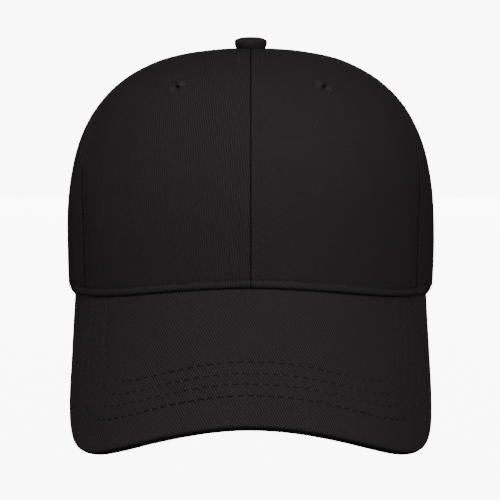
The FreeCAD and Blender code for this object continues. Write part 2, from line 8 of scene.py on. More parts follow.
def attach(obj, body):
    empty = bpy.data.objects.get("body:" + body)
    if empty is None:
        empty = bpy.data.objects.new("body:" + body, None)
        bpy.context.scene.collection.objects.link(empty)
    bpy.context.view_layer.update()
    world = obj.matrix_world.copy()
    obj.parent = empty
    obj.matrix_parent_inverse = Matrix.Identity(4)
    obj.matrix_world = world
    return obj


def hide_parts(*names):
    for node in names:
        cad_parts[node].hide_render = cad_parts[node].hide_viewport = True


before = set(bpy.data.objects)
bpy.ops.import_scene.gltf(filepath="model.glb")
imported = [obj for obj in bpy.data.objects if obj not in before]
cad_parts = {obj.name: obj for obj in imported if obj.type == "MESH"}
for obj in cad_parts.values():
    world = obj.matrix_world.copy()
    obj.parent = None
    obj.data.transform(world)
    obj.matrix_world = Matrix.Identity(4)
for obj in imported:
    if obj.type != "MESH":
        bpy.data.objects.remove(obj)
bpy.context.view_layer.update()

# A structured six-panel baseball cap in black cotton twill. Its lengths are in millimetres and become
# metres when a mesh is made. The studio and the depths of bumps are in metres. Origin: centre of the
# head opening, +Z up, visor towards -Y. Left and right are the wearer's, and left is +X.

MM = 0.001
FULL_TURN, QUARTER_TURN = 2 * math.pi, math.pi / 2
SIGNS = {"left": 1.0, "right": -1.0}

# ------ sizes shared with the frame

CROWN_HALF_WIDTH = 88.0
CROWN_HALF_LENGTH = 102.2
CROWN_HEIGHT = 119.0
WIDEST_HEIGHT = 28.0
HEM_DRAW_IN = 1.0
FRONT_FULLNESS = 2.65
REAR_FULLNESS = 2.25
FRONT_SEAM, FRONT_SEAM_BOW, BOW_POWER = 62.0, 15.0, 1.5
REAR_SEAM, REAR_SEAM_BOW = 122.0, 6.0
PANEL_THICK = 0.9
TAPE_DEPTH = 1.7
BAND_DEPTH, BAND_THICK, BAND_TALL = 2.4, 1.6, 31.0
ARCH_HALF_WIDTH, ARCH_TALL = 47.0, 50.0
VISOR_FRONT_HEIGHT = 14.4
VISOR_PITCH = math.radians(46.4)
VISOR_HALF_WIDTH = 106.5
VISOR_BEND, VISOR_BEND_POWER = math.radians(67.3), 0.92
VISOR_REACH = 70.4
VISOR_SQUARE_START = -5.0
VISOR_SQUARENESS = 3.44
VISOR_SIDE_TAPER = 0.14
VISOR_TUCK = 4.0
VISOR_END_AZIMUTH = 76.0
VISOR_THICK, COVER_THICK = 3.8, 0.75
TOP_PROUD, UNDER_PROUD, EDGE_PROUD = 0.3, 0.6, 0.8
BUTTON_RADIUS, BUTTON_TALL, BUTTON_BASE = 7.8, 5.1, 119.4
BUTTON_WIDEST, BUTTON_TUCK, BUTTON_SINK = 2.6, 2.1, 0.9
STRAP_TOP, STRAP_CLEARANCE = 19.5, 2.0

# Sewing
RIB_PITCH = 1.08
STITCH_PITCH, STITCH_LENGTH, STITCH_RADIUS = 2.7, 2.0, 0.21
TOPSTITCH_OFFSET = 5.5
HEM_STITCH_HEIGHT = 3.8
VISOR_ROW_INSETS = (14.9, 20.9, 26.4, 32.4)
VISOR_STITCH_PITCH, STITCH_SINK = 4.3, 0.15


# ------ crown surface
# A place on the crown is an azimuth from the front in degrees, a level and a depth.
# Level -1 is the hem, 0 the widest height and 1 the top. Depth is measured inwards.

def eased(value):
    value = np.clip(value, 0.0, 1.0)
    return value * value * (3.0 - 2.0 * value)


def fullness(azimuth):
    turned = np.abs((np.asarray(azimuth, float) + 180.0) % 360.0 - 180.0)
    return FRONT_FULLNESS + (REAR_FULLNESS - FRONT_FULLNESS) * eased((turned - 90.0) / 90.0)


def crown_section(azimuth, level):
    """Half width, half length and height of the outer face at a level."""
    low = np.minimum(level, 0.0)
    turn = np.radians(90.0 * np.clip(level, 0.0, 1.0))
    power = 2.0 / fullness(azimuth)
    shrink = np.maximum(np.cos(turn), 0.0) ** power
    draw = HEM_DRAW_IN * low * low
    height = WIDEST_HEIGHT * (1.0 + low) + (CROWN_HEIGHT - WIDEST_HEIGHT) * np.sin(turn) ** power
    return (CROWN_HALF_WIDTH - draw) * shrink, (CROWN_HALF_LENGTH - draw) * shrink, height


def outer_point(azimuth, level):
    azimuth, level = np.broadcast_arrays(np.asarray(azimuth, float), np.asarray(level, float))
    wide, long, height = crown_section(azimuth, level)
    turn = np.radians(azimuth)
    return np.stack([wide * np.sin(turn), -long * np.cos(turn), height], -1)


def unit(vectors):
    return vectors / np.maximum(np.linalg.norm(vectors, axis=-1, keepdims=True), 1e-9)


def crown_normal(azimuth, level):
    step = 1e-3
    level = np.minimum(level, 1.0 - 2 * step)
    across = outer_point(np.add(azimuth, 1.0), level) - outer_point(np.subtract(azimuth, 1.0), level)
    upward = outer_point(azimuth, level + step) - outer_point(azimuth, level - step)
    return unit(np.cross(across, upward))


def crown_point(azimuth, level, depth=0.0):
    depth = np.asarray(depth, float)[..., None]
    return outer_point(azimuth, level) - crown_normal(azimuth, level) * depth


def level_at(azimuth, height):
    height = np.asarray(height, float)
    share = np.clip((height - WIDEST_HEIGHT) / (CROWN_HEIGHT - WIDEST_HEIGHT), 0.0, 1.0)
    above = np.degrees(np.arcsin(share ** (fullness(azimuth) / 2.0))) / 90.0
    return np.where(height <= WIDEST_HEIGHT, height / WIDEST_HEIGHT - 1.0, above)


def level_at_radius(azimuth, radius):
    return np.degrees(np.arccos((radius / CROWN_HALF_WIDTH) ** (fullness(azimuth) / 2.0))) / 90.0


def degrees_per_mm(azimuth, level):
    wide, long, _ = crown_section(azimuth, level)
    turn = np.radians(azimuth)
    return np.degrees(1.0 / np.maximum(np.hypot(wide * np.cos(turn), long * np.sin(turn)), 0.5))


def front_seam(level):
    rise = np.maximum(np.sin(np.pi * np.clip(level, 0.0, 1.0)), 0.0) ** BOW_POWER
    return FRONT_SEAM + FRONT_SEAM_BOW * rise


def rear_seam(level):
    return REAR_SEAM + REAR_SEAM_BOW * np.maximum(level, 0.0) ** 2


def front_middle(level):
    return 0.0 * np.asarray(level, float)


def rear_middle(level):
    return 180.0 + 0.0 * np.asarray(level, float)


def mirrored(curve):
    return lambda level: -curve(level)


SEAMS = {"front_centre": front_middle, "front_left": front_seam, "front_right": mirrored(front_seam),
         "rear_left": rear_seam, "rear_right": mirrored(rear_seam), "rear_centre": rear_middle}


# ------ visor surface
# The visor is a flat pattern (across, ahead) bent about a sloping line down its middle.

def bend_table():
    count, reach = 400, 1.15
    flat = np.linspace(0.0, VISOR_HALF_WIDTH * reach, count + 1)
    turn = VISOR_BEND * ((flat[1:] + flat[:-1]) / 2 / VISOR_HALF_WIDTH) ** VISOR_BEND_POWER
    step = flat[1]
    side = np.concatenate([[0.0], np.cumsum(np.cos(turn) * step)])
    drop = np.concatenate([[0.0], np.cumsum(np.sin(turn) * step)])
    return flat, side, drop


BEND_FLAT, BEND_SIDE, BEND_DROP = bend_table()


def visor_point(across, ahead, depth=0.0):
    """Point of the visor, depth below its top face."""
    across, ahead = np.asarray(across, float), np.asarray(ahead, float)
    size = np.abs(across)
    turn = VISOR_BEND * (size / VISOR_HALF_WIDTH) ** VISOR_BEND_POWER
    side = np.interp(size, BEND_FLAT, BEND_SIDE) - depth * np.sin(turn)
    drop = np.interp(size, BEND_FLAT, BEND_DROP) + depth * np.cos(turn)
    forward = CROWN_HALF_LENGTH + ahead * math.cos(VISOR_PITCH) - drop * math.sin(VISOR_PITCH)
    height = VISOR_FRONT_HEIGHT - ahead * math.sin(VISOR_PITCH) - drop * math.cos(VISOR_PITCH)
    return np.stack([np.sign(across) * side, -forward, height], -1)


def flat_place(side, forward):
    """Pattern place of the visor's top face above or below a place in plan."""
    across = np.interp(np.abs(side), BEND_SIDE, BEND_FLAT)
    drop = np.interp(np.abs(side), BEND_SIDE, BEND_DROP)
    ahead = (forward - CROWN_HALF_LENGTH + drop * math.sin(VISOR_PITCH)) / math.cos(VISOR_PITCH)
    return np.sign(side) * across, ahead


SOLVE_ROUNDS = 4
EDGE_SOFTNESS = 1.0


def edge_height(azimuth, depth=0.0, clear=0.1):
    """Lowest height of a crown layer: on the visor in front, at the hem elsewhere."""
    azimuth = np.asarray(azimuth, float)
    height = np.full_like(azimuth, VISOR_FRONT_HEIGHT)
    for _ in range(SOLVE_ROUNDS):
        place = crown_point(azimuth, level_at(azimuth, height), depth)
        above = visor_point(*flat_place(place[..., 0], -place[..., 1]))[..., 2] + clear
        height = 0.5 * (above + np.hypot(above, EDGE_SOFTNESS))
    return np.where(np.abs(azimuth) > VISOR_END_AZIMUTH, clear, np.maximum(height, clear))


# ------ mesh helpers

def new_object(name, vertices, faces, material, smooth=True):
    mesh = bpy.data.meshes.new(name)
    mesh.from_pydata([tuple(v) for v in np.asarray(vertices) * MM], [], faces)
    mesh.validate()
    mesh.update()
    obj = bpy.data.objects.new(name, mesh)
    bpy.context.scene.collection.objects.link(obj)
    mesh.materials.append(material)
    if smooth:
        mesh.shade_smooth()
    return obj


def grid_faces(columns, rows, closed_rows=False):
    faces = []
    last = rows if closed_rows else rows - 1
    for column in range(columns - 1):
        for row in range(last):
            after = (row + 1) % rows
            faces.append((column * rows + row, (column + 1) * rows + row,
                          (column + 1) * rows + after, column * rows + after))
    return faces


def add_uv(obj, places, turn=0.0):
    """UV map in millimetres of cloth, turned so that the ribs run the way they do on the piece."""
    layer = obj.data.uv_layers.new(name="cloth")
    cosine, sine = math.cos(math.radians(turn)), math.sin(math.radians(turn))
    across, up = np.asarray(places, float).reshape(-1, 2).T
    turned = np.stack([across * cosine - up * sine, across * sine + up * cosine], -1)
    indices = np.empty(len(obj.data.loops), dtype=np.int32)
    obj.data.loops.foreach_get("vertex_index", indices)
    layer.data.foreach_set("uv", turned[indices].ravel())


def grid_object(name, grid, places, material, turn=0.0, closed_rows=False):
    """Object from a grid of points, columns by rows, with a cloth map."""
    columns, rows = grid.shape[:2]
    obj = new_object(name, grid.reshape(-1, 3), grid_faces(columns, rows, closed_rows), material)
    add_uv(obj, places, turn)
    return obj


def run_length(points):
    """Distance along a line of points from its start, or along each column of a grid of them."""
    legs = np.linalg.norm(np.diff(points, axis=0), axis=-1)
    return np.concatenate([np.zeros_like(legs[:1]), np.cumsum(legs, axis=0)])


def thicken(obj, thick, offset=-1.0):
    """Give a sheet its thickness."""
    modifier = obj.modifiers.new("thickness", "SOLIDIFY")
    modifier.thickness = thick * MM
    modifier.offset = offset
    modifier.use_even_offset = False


def apply_modifiers(obj):
    graph = bpy.context.evaluated_depsgraph_get()
    mesh = bpy.data.meshes.new_from_object(obj.evaluated_get(graph))
    obj.modifiers.clear()
    obj.data = mesh


def soft_noise(points, scale, seed):
    """Smooth noise from -1 to 1 at each point, with features of about the given size in mm."""
    flat = points.reshape(-1, 3)
    shift = Vector((seed * 17.3, seed * 5.1, seed * 9.7))
    values = [noise.noise(Vector(point) / scale + shift) for point in flat]
    return np.array(values).reshape(points.shape[:-1])


def finish_piece(obj, node=None):
    """Put a piece on the crown, and in the place of a frame node if one is named."""
    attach(obj, "crown")
    if node:
        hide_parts(node)


# ------ materials

WAVE_RATE = 20.0    # radians of a wave texture's phase per unit of its vector, at scale 1


class Nodes:
    """Short way to write a node tree."""

    def __init__(self, name):
        self.material = bpy.data.materials.new(name)
        self.material.use_nodes = True
        self.tree = self.material.node_tree
        self.shader = self.tree.nodes["Principled BSDF"]

    def add(self, kind, **inputs):
        node = self.tree.nodes.new("ShaderNode" + kind)
        for key, value in inputs.items():
            self.feed(node, key.replace("_", " "), value)
        return node

    def feed(self, node, key, value):
        socket = node.inputs[int(key)] if key.isdigit() else node.inputs[key]
        if isinstance(value, bpy.types.NodeSocket):
            self.tree.links.new(value, socket)
        else:
            socket.default_value = value

    def maths(self, operation, first, second=0.0):
        node = self.tree.nodes.new("ShaderNodeMath")
        node.operation = operation
        self.feed(node, "0", first)
        self.feed(node, "1", second)
        return node.outputs[0]

    def times(self, first, second):
        return self.maths("MULTIPLY", first, second)

    def plus(self, first, second):
        return self.maths("ADD", first, second)

    def blend(self, share, first, second):
        node = self.tree.nodes.new("ShaderNodeMix")
        node.data_type = "RGBA"
        self.feed(node, "0", share)
        self.feed(node, "6", first)
        self.feed(node, "7", second)
        return node.outputs[2]

    def ramp(self, value, low, high):
        node = self.tree.nodes.new("ShaderNodeMapRange")
        self.feed(node, "0", value)
        self.feed(node, "1", low)
        self.feed(node, "2", high)
        return node.outputs[0]

    def cloth_map(self):
        node = self.tree.nodes.new("ShaderNodeUVMap")
        node.uv_map = "cloth"
        return node.outputs[0]

    def object_map(self):
        return self.tree.nodes.new("ShaderNodeTexCoord").outputs["Object"]

    def bands(self, vector, pitch, direction="X", distortion=0.0, detail=1.5, detail_scale=1.0):
        """Sine bands of a given pitch, in the units of the vector."""
        node = self.tree.nodes.new("ShaderNodeTexWave")
        node.bands_direction = direction
        self.feed(node, "Vector", vector)
        self.feed(node, "Scale", FULL_TURN / (WAVE_RATE * pitch))
        self.feed(node, "Distortion", distortion)
        self.feed(node, "Detail", detail)
        self.feed(node, "Detail Scale", detail_scale)
        return node.outputs["Fac"]

    def noise(self, vector, scale, detail=3.0, roughness=0.5):
        node = self.add("TexNoise", Vector=vector, Scale=scale, Detail=detail, Roughness=roughness)
        return node.outputs["Fac"]

    def surface(self, tone, rough, relief, **inputs):
        """Finish the material. rough is (texture, share, base), relief is (height, distance, strength)."""
        texture, share, base = rough
        height, distance, strength = relief
        bump = self.add("Bump", Height=height, Distance=distance, Strength=strength)
        return self.plain(Base_Color=tone, Roughness=self.plus(self.times(texture, share), base),
                          Normal=bump.outputs[0], **inputs)

    def plain(self, **inputs):
        for key, value in inputs.items():
            self.feed(self.shader, key.replace("_", " "), value)
        return self.material


def shade(colour, factor):
    return (colour[0] * factor, colour[1] * factor, colour[2] * factor, 1.0)


BLACK = (0.0165, 0.0134, 0.0142)
FLOAT_PITCH = 0.62    # slanted floats, as a share of the rib pitch
FLOAT_SHARE, RIB_AND_FIBRE_SHARE = 0.14, 1.18
PATCH_SHARE, WORN_SHARE = 0.35, 0.22


def twill(name, colour=BLACK, rib=RIB_PITCH, rib_share=0.5, depth=0.00016, roughness=0.85):
    """Cotton twill: raised diagonal ribs, each a row of slanted floats, with fine fibre."""
    made = Nodes(name)
    cloth = made.cloth_map()
    ribs = made.bands(cloth, rib, "X", distortion=1.4, detail=2.0, detail_scale=0.6)
    floats = made.bands(cloth, rib * FLOAT_PITCH, "DIAGONAL", distortion=1.2, detail=2.0, detail_scale=1.2)
    fibre = made.noise(cloth, 1.2, detail=4.0, roughness=0.75)
    patches = made.noise(made.object_map(), 55.0, detail=3.0)
    worn = made.noise(made.object_map(), 14.0, detail=2.0)
    rib_light = made.maths("POWER", ribs, 1.4)
    weave = made.plus(made.times(rib_light, rib_share), made.times(floats, FLOAT_SHARE))
    weave = made.plus(weave, made.times(fibre, RIB_AND_FIBRE_SHARE - rib_share))
    # The tone follows the ribs: the weave's pattern, with painted shade in the grooves and painted
    # highlight on the rib tops.
    tone = made.blend(weave, shade(colour, 0.0), shade(colour, 2.0))
    tone = made.blend(made.times(made.ramp(patches, 0.35, 0.75), PATCH_SHARE), tone, shade(colour, 1.35))
    tone = made.blend(made.times(made.ramp(worn, 0.45, 0.8), WORN_SHARE), tone, shade(colour, 1.6))
    height = made.plus(ribs, made.times(floats, 0.25))
    height = made.plus(height, made.times(fibre, 0.5))
    return made.surface(tone, (fibre, 0.12, roughness - 0.06), (height, depth, 0.9),
                        Sheen_Weight=0.003, Sheen_Roughness=0.5, Specular_IOR_Level=0.0)


def thread(name, colour, shine=0.05):
    """Twisted polyester sewing thread."""
    made = Nodes(name)
    place = made.object_map()
    twist = made.bands(place, 0.00045, "DIAGONAL", distortion=0.3)
    patch = made.noise(place, 220.0, detail=2.0)
    tone = made.blend(twist, shade(colour, 0.6), shade(colour, 1.4))
    tone = made.blend(made.times(patch, 0.35), tone, shade(colour, 1.8))
    return made.surface(tone, (twist, 0.1, 0.5), (twist, 0.00006, 0.8), Specular_IOR_Level=shine)


def woven_tape(name, colour):
    """Herringbone tape."""
    made = Nodes(name)
    cloth = made.cloth_map()
    ribs = made.bands(cloth, 0.9, "DIAGONAL", distortion=0.6)
    picks = made.bands(cloth, 0.55, "Y", distortion=0.4)
    fibre = made.noise(cloth, 3.0, detail=3.0)
    weave = made.plus(made.times(ribs, 0.6), made.times(picks, 0.3))
    tone = made.blend(weave, shade(colour, 0.5), shade(colour, 1.6))
    return made.surface(tone, (fibre, 0.1, 0.78), (weave, 0.00015, 0.9),
                        Sheen_Weight=0.12, Sheen_Roughness=0.5, Specular_IOR_Level=0.25)


def open_weave(name, colour):
    """Stiff buckram: a square open weave, sized with starch."""
    made = Nodes(name)
    cloth = made.cloth_map()
    warp = made.bands(cloth, 1.3, "X", distortion=0.5)
    weft = made.bands(cloth, 1.3, "Y", distortion=0.5)
    fibre = made.noise(cloth, 1.5, detail=4.0)
    weave = made.maths("MAXIMUM", made.maths("POWER", warp, 1.6), made.maths("POWER", weft, 1.6))
    tone = made.blend(weave, shade(colour, 0.35), shade(colour, 1.0))
    tone = made.blend(made.times(fibre, 0.3), tone, shade(colour, 0.8))
    return made.surface(tone, (fibre, 0.15, 0.68), (weave, 0.0002, 0.8), Specular_IOR_Level=0.3)


def moulded(name, colour, roughness, grain=900.0):
    """Moulded plastic with a fine grain and handling marks."""
    made = Nodes(name)
    place = made.object_map()
    fine = made.noise(place, grain, detail=2.0)
    marks = made.noise(place, 60.0, detail=5.0, roughness=0.65)
    tone = made.blend(made.ramp(marks, 0.4, 0.7), shade(colour, 0.9), shade(colour, 1.25))
    return made.surface(tone, (made.ramp(marks, 0.35, 0.7), 0.18, roughness), (fine, 0.00004, 0.5),
                        Specular_IOR_Level=0.5)


def pressed_metal(name, colour):
    made = Nodes(name)
    place = made.object_map()
    scratch = made.noise(place, 500.0, detail=4.0, roughness=0.7)
    dull = made.noise(place, 120.0, detail=2.0)
    tone = made.blend(made.ramp(dull, 0.4, 0.7), shade(colour, 0.8), shade(colour, 1.0))
    return made.surface(tone, (scratch, 0.25, 0.25), (scratch, 0.00003, 0.4), Metallic=1.0)


CROWN_TWILL = twill("crown_twill", rib_share=0.42)
VISOR_TWILL = twill("visor_twill", rib_share=0.52)
BUTTON_TWILL = twill("button_twill")
BAND_TWILL = twill("sweatband_twill", (0.019, 0.0175, 0.0185), rib=0.8, depth=0.0001)
THREAD = thread("black_thread", (0.020, 0.0172, 0.018))
# Near-black thread, far darker than the cloth: painted shade where it lies in the seams, the air holes and
# the front of the visor stitch rows.
PAINTED_SHADE_THREAD = thread("painted_shade_thread", (0.0042, 0.0035, 0.0037), shine=0.0)
# Pale thread for the short stitches between the front visor stitches: painted highlight where the cloth
# between stitches catches the light.
PAINTED_HIGHLIGHT_THREAD = thread("painted_highlight_thread", (0.036, 0.031, 0.033))
TAPE = woven_tape("black_tape", (0.02, 0.0185, 0.0195))
BUCKRAM = open_weave("buckram", (0.62, 0.61, 0.57))
LABEL = woven_tape("label_weave", (0.55, 0.55, 0.53))
STRAP = moulded("black_plastic", (0.016, 0.016, 0.017), 0.36)
BOARD = moulded("board_plastic", (0.6, 0.6, 0.58), 0.45)
METAL = pressed_metal("button_metal", (0.6, 0.6, 0.6))

# ------ stitches

CAPSULE_SIDES = 6
# Rings of a stitch: place along its length, swell and lift as shares of its radius.
CAPSULE_RINGS = ((-0.5, 0.25, -0.5), (-0.36, 0.85, 0.15), (0.0, 1.0, 0.5),
                 (0.36, 0.85, 0.15), (0.5, 0.25, -0.5))


def capsule(middle, along, normal, length, radius):
    """Stitch of thread lying on a surface, its ends sunk into the cloth."""
    side = np.cross(along, normal)
    rings = []
    for place, swell, lift in CAPSULE_RINGS:
        centre = middle + along * (place * length) + normal * (lift * radius)
        for corner in range(CAPSULE_SIDES):
            turn = FULL_TURN * corner / CAPSULE_SIDES
            rings.append(centre + (side * math.cos(turn) + normal * math.sin(turn)) * radius * swell)
    return rings


def capsule_faces(start):
    faces = []
    count = len(CAPSULE_RINGS)
    for ring in range(count - 1):
        for corner in range(CAPSULE_SIDES):
            after = (corner + 1) % CAPSULE_SIDES
            low, high = start + ring * CAPSULE_SIDES, start + (ring + 1) * CAPSULE_SIDES
            faces.append((low + corner, low + after, high + after, high + corner))
    faces.append(tuple(start + corner for corner in reversed(range(CAPSULE_SIDES))))
    faces.append(tuple(start + (count - 1) * CAPSULE_SIDES + corner for corner in range(CAPSULE_SIDES)))
    return faces


def along_line(points, normals, pitch, start=0.5):
    """Evenly spaced places along a line: middle, direction and normal of each."""
    lengths = run_length(points)
    count = max(int(lengths[-1] / pitch), 1)
    wanted = (np.arange(count) + start) * lengths[-1] / count
    reach = pitch * 0.4

    def at(distance, table):
        return np.stack([np.interp(distance, lengths, table[:, k]) for k in range(3)], -1)

    middle = at(wanted, points)
    along = unit(at(wanted + reach, points) - at(wanted - reach, points))
    return middle, along, unit(at(wanted, normals))


def sew(name, lines, thread=THREAD, pitch=STITCH_PITCH, length=STITCH_LENGTH, radius=STITCH_RADIUS,
        start=0.5):
    """One piece with a row of stitches along each line of (points, normals)."""
    vertices, faces = [], []
    for points, normals in lines:
        for middle, along, normal in zip(*along_line(points, normals, pitch, start)):
            faces += capsule_faces(len(vertices))
            vertices += capsule(middle, along, normal, length, radius)
    finish_piece(new_object(name, vertices, faces, thread))


# ------ crown panels

EDGE_STEPS = (0.0, 0.15, 0.3, 0.5, 0.8, 1.2, 1.8, 2.6, 3.6, 4.6, 5.1, 5.5, 5.9, 6.4, 7.6, 9.5, 12.0)
MIDDLE_COLUMNS = 24
HEM_STEPS = (0.0, 0.12, 0.3, 0.6, 1.0, 1.5, 2.1, 2.7, 3.1, 3.35, 3.6, 3.85, 4.2, 4.7, 5.6, 7.0, 9.0)
WELT_TALL = 3.5
HEM_LIFT, SIDE_LIFT = 0.8, 1.4
SIDE_LIFT_START, SIDE_LIFT_END = (38.0, 72.0), (82.0, 107.0)
BAND_ROWS = 5
DOME_ROWS = 54
DOME_CROWDING = 1.25    # rows of the dome lie closer together low down
PANEL_TOP_RADIUS, NARROWEST_PANEL = 2.6, 0.5
ROOM_FOR_EDGES = 30.0


def bell(distance, centre, width):
    return np.exp(-((distance - centre) / width) ** 2)


def between(value, start, end):
    return eased((value - start) / (end - start))


# Relief of the cloth in mm. Each groove has a depth and a half width.
TURN_IN_RAISE, TURN_IN_START, TURN_IN_END = 0.12, (0.0, 0.8), (4.2, 5.8)
SEAM_GROOVE, TOPSTITCH_GROOVE = (0.8, 0.22), (0.10, 0.4)
WELT_RAISE, WELT_ROUNDNESS = 0.95, 0.6
HEM_ROLL, HEM_GROOVE, HEM_GROOVE_ABOVE = (1.3, 0.32), (0.22, 0.4), 0.25
SIDE_AZIMUTHS, SIDE_GROOVE = (35.0, 55.0), (1.0, 0.55)
HOLLOW, HOLLOW_HEIGHTS = (0.8, 6.5), (35.0, 80.0)
CORNER_START, CORNER_END = (66.0, 78.0), (118.0, 138.0)
CORNER_DEPTH, CORNER_TALL = 3.0, 5.5
SLACK_DEPTHS, SLACK_SIZES, SLACK_FULL = (0.42, 0.16), (38.0, 15.0), 14.0
PUCKER_DEPTH, PUCKER_SIZE = 0.10, 4.2
PUCKER_BY_SEAM, PUCKER_BY_HEM = (4.0, 3.5), (3.0, 3.0)
FLAT_ROUND_HOLE = (5.0, 14.0)


def groove(distance, size, centre=0.0):
    depth, width = size
    return depth * bell(distance, centre, width)


def seam_profile(distance):
    """Height of the cloth beside a seam: rolled into the seam, raised over the turned-in edge."""
    raised = TURN_IN_RAISE * between(distance, *TURN_IN_START) * (1.0 - between(distance, *TURN_IN_END))
    return raised - groove(distance, SEAM_GROOVE) - groove(distance, TOPSTITCH_GROOVE, TOPSTITCH_OFFSET)


def hem_profile(height):
    """Height of the cloth above the crown's lower edge, where it is turned in and stitched."""
    welt = WELT_RAISE * np.sin(np.pi * np.clip(height / WELT_TALL, 0.0, 1.0)) ** WELT_ROUNDNESS
    return welt - groove(height, HEM_ROLL) - groove(height, HEM_GROOVE, WELT_TALL + HEM_GROOVE_ABOVE)


def crown_edge(azimuth):
    """Height of the cloth crown's lower edge. It stands a little clear of the visor, more at the sides."""
    azimuth = np.asarray(azimuth, float)
    side = between(np.abs(azimuth), *SIDE_LIFT_START) * (1.0 - between(np.abs(azimuth), *SIDE_LIFT_END))
    return edge_height(azimuth) + HEM_LIFT + SIDE_LIFT * side


def panel_row(azimuth, row):
    """Levels along one row of a panel, counted from the crown's edge, and its heights above the edge."""
    edge = crown_edge(azimuth)
    above_hem = row - len(HEM_STEPS) + 1
    if above_hem <= 0:
        level = level_at(azimuth, edge + HEM_STEPS[row])
    elif above_hem < BAND_ROWS:
        level = level_at(azimuth, edge + HEM_STEPS[-1]) * (1.0 - above_hem / BAND_ROWS)
    else:
        share = (above_hem - BAND_ROWS) / DOME_ROWS
        level = level_at_radius(azimuth, PANEL_TOP_RADIUS) * share ** DOME_CROWDING
    return level, crown_section(azimuth, level)[2] - edge


def panel_columns(width):
    """Shares across a panel and distances to the nearest seam, for a panel of that width."""
    scale = min(1.0, width / ROOM_FOR_EDGES)
    edge = np.array(EDGE_STEPS) * scale
    middle = np.linspace(edge[-1], width - edge[-1], MIDDLE_COLUMNS + 2)[1:-1]
    places = np.concatenate([edge, middle, (width - edge)[::-1]])
    return places / width, np.minimum(places, width - places)


def panel_grid(start, end):
    """Azimuth, level, height above the edge and distance to the seam over a panel."""
    shares = np.linspace(0.0, 1.0, len(EDGE_STEPS) * 2 + MIDDLE_COLUMNS)
    at_hem = start(-1.0) + (end(-1.0) - start(-1.0)) * shares
    rows = []
    for row in range(len(HEM_STEPS) + BAND_ROWS + DOME_ROWS):
        middle = float(np.median(panel_row(at_hem, row)[0]))
        low, high = start(middle), end(middle)
        width = abs(high - low) / float(degrees_per_mm((low + high) / 2, middle))
        share, distance = panel_columns(max(width, NARROWEST_PANEL))
        azimuth = low + (high - low) * share
        rows.append((azimuth, *panel_row(azimuth, row), distance))
    return [np.stack(part, -1) for part in zip(*rows)]


def panel_relief(points, azimuths, distances, heights, hole, seed):
    """Everything that lifts the cloth off the plain surface. It lies flat round the air hole."""
    turned = np.abs(azimuths)
    relief = seam_profile(distances) + hem_profile(heights)
    side = between(turned, *SIDE_AZIMUTHS)
    relief = relief - side * groove(distances, SIDE_GROOVE)
    relief = relief - side * (1.0 - between(heights, *HOLLOW_HEIGHTS)) * groove(distances, HOLLOW)
    corner = between(turned, *CORNER_START) * (1.0 - between(turned, *CORNER_END))
    relief = relief - CORNER_DEPTH * corner * (1.0 - eased(heights / CORNER_TALL))
    coarse, fine = (soft_noise(points, size, seed + step) for size, step in zip(SLACK_SIZES, (0, 3)))
    slack = SLACK_DEPTHS[0] * coarse + SLACK_DEPTHS[1] * fine
    pucker = PUCKER_DEPTH * soft_noise(points, PUCKER_SIZE, seed + 7)
    pucker = pucker * (bell(distances, *PUCKER_BY_SEAM) + bell(heights, *PUCKER_BY_HEM))
    clear_of_hole = between(np.linalg.norm(points - hole, axis=-1), *FLAT_ROUND_HOLE)
    return relief + slack * eased(distances / SLACK_FULL) * clear_of_hole + pucker


def cloth_places(points, share=0.5):
    """Distances over the cloth from one column and its lower edge, as across and up."""
    middle = round((points.shape[0] - 1) * share)
    across = run_length(points)
    upward = run_length(points.swapaxes(0, 1)).T
    return np.stack([across - across[middle], upward], -1)


PANELS = {
    "front": (front_middle, front_seam),
    "side": (front_seam, rear_seam),
    "rear": (rear_seam, rear_middle),
}
AIR_HOLES = {"front": (32.1, 0.562), "side": (101.0, 0.56), "rear": (154.0, 0.56)}
AIR_HOLE_RADIUS, CUT_REACH = 1.25, 4.0
# Turn of the ribs in degrees, and the share across the panel where the cloth lies straight.
PANEL_CLOTH = {("front", "left"): (-33.0, 0.0), ("front", "right"): (-6.0, 1.0),
               ("side", "left"): (-30.0, 0.5), ("side", "right"): (20.0, 0.5),
               ("rear", "left"): (-25.0, 0.5), ("rear", "right"): (25.0, 0.5)}


def cut_away(obj, tool):
    modifier = obj.modifiers.new("cut", "BOOLEAN")
    modifier.operation = "DIFFERENCE"
    modifier.solver = "EXACT"
    modifier.object = tool
    apply_modifiers(obj)
    bpy.data.objects.remove(tool)


def bar(outline, start, end):
    """Closed bar between an outline at start and the same outline moved to end."""
    count = len(outline)
    points = [start + place for place in outline] + [end + place for place in outline]
    faces = [(k, count + k, count + (k + 1) % count, (k + 1) % count) for k in range(count)]
    faces += [tuple(range(count)), tuple(reversed(range(count, 2 * count)))]
    return new_object("cutter", points, faces, CROWN_TWILL, smooth=False)


def air_hole(place, side):
    """Azimuth and level of an air hole's centre."""
    azimuth, level = AIR_HOLES[place]
    return SIGNS[side] * azimuth, level


def crown_line(azimuths, levels, depth=0.0):
    """Places on a crown layer, with its outward normals."""
    return crown_point(azimuths, levels, depth), crown_normal(azimuths, levels)


def air_hole_bar(place, side):
    centre, normal = crown_line(*air_hole(place, side))
    across = unit(np.cross(normal, (0.0, 0.0, 1.0)))
    upward = np.cross(normal, across)
    turns = np.linspace(0.0, FULL_TURN, 24, endpoint=False)
    outline = [(across * math.cos(t) + upward * math.sin(t)) * AIR_HOLE_RADIUS for t in turns]
    return bar(outline, centre + normal * CUT_REACH, centre - normal * CUT_REACH)


ARCH_CUT = np.array([[0.0, 45.0, 0.0], [0.0, 150.0, 0.0]])


def arch_bar(grow):
    turns = np.linspace(0.0, FULL_TURN, 96, endpoint=False)
    wide, tall = ARCH_HALF_WIDTH + grow, ARCH_TALL + grow
    outline = [np.array([wide * math.cos(t), 0.0, tall * math.sin(t)]) for t in turns]
    return bar(outline, *ARCH_CUT)


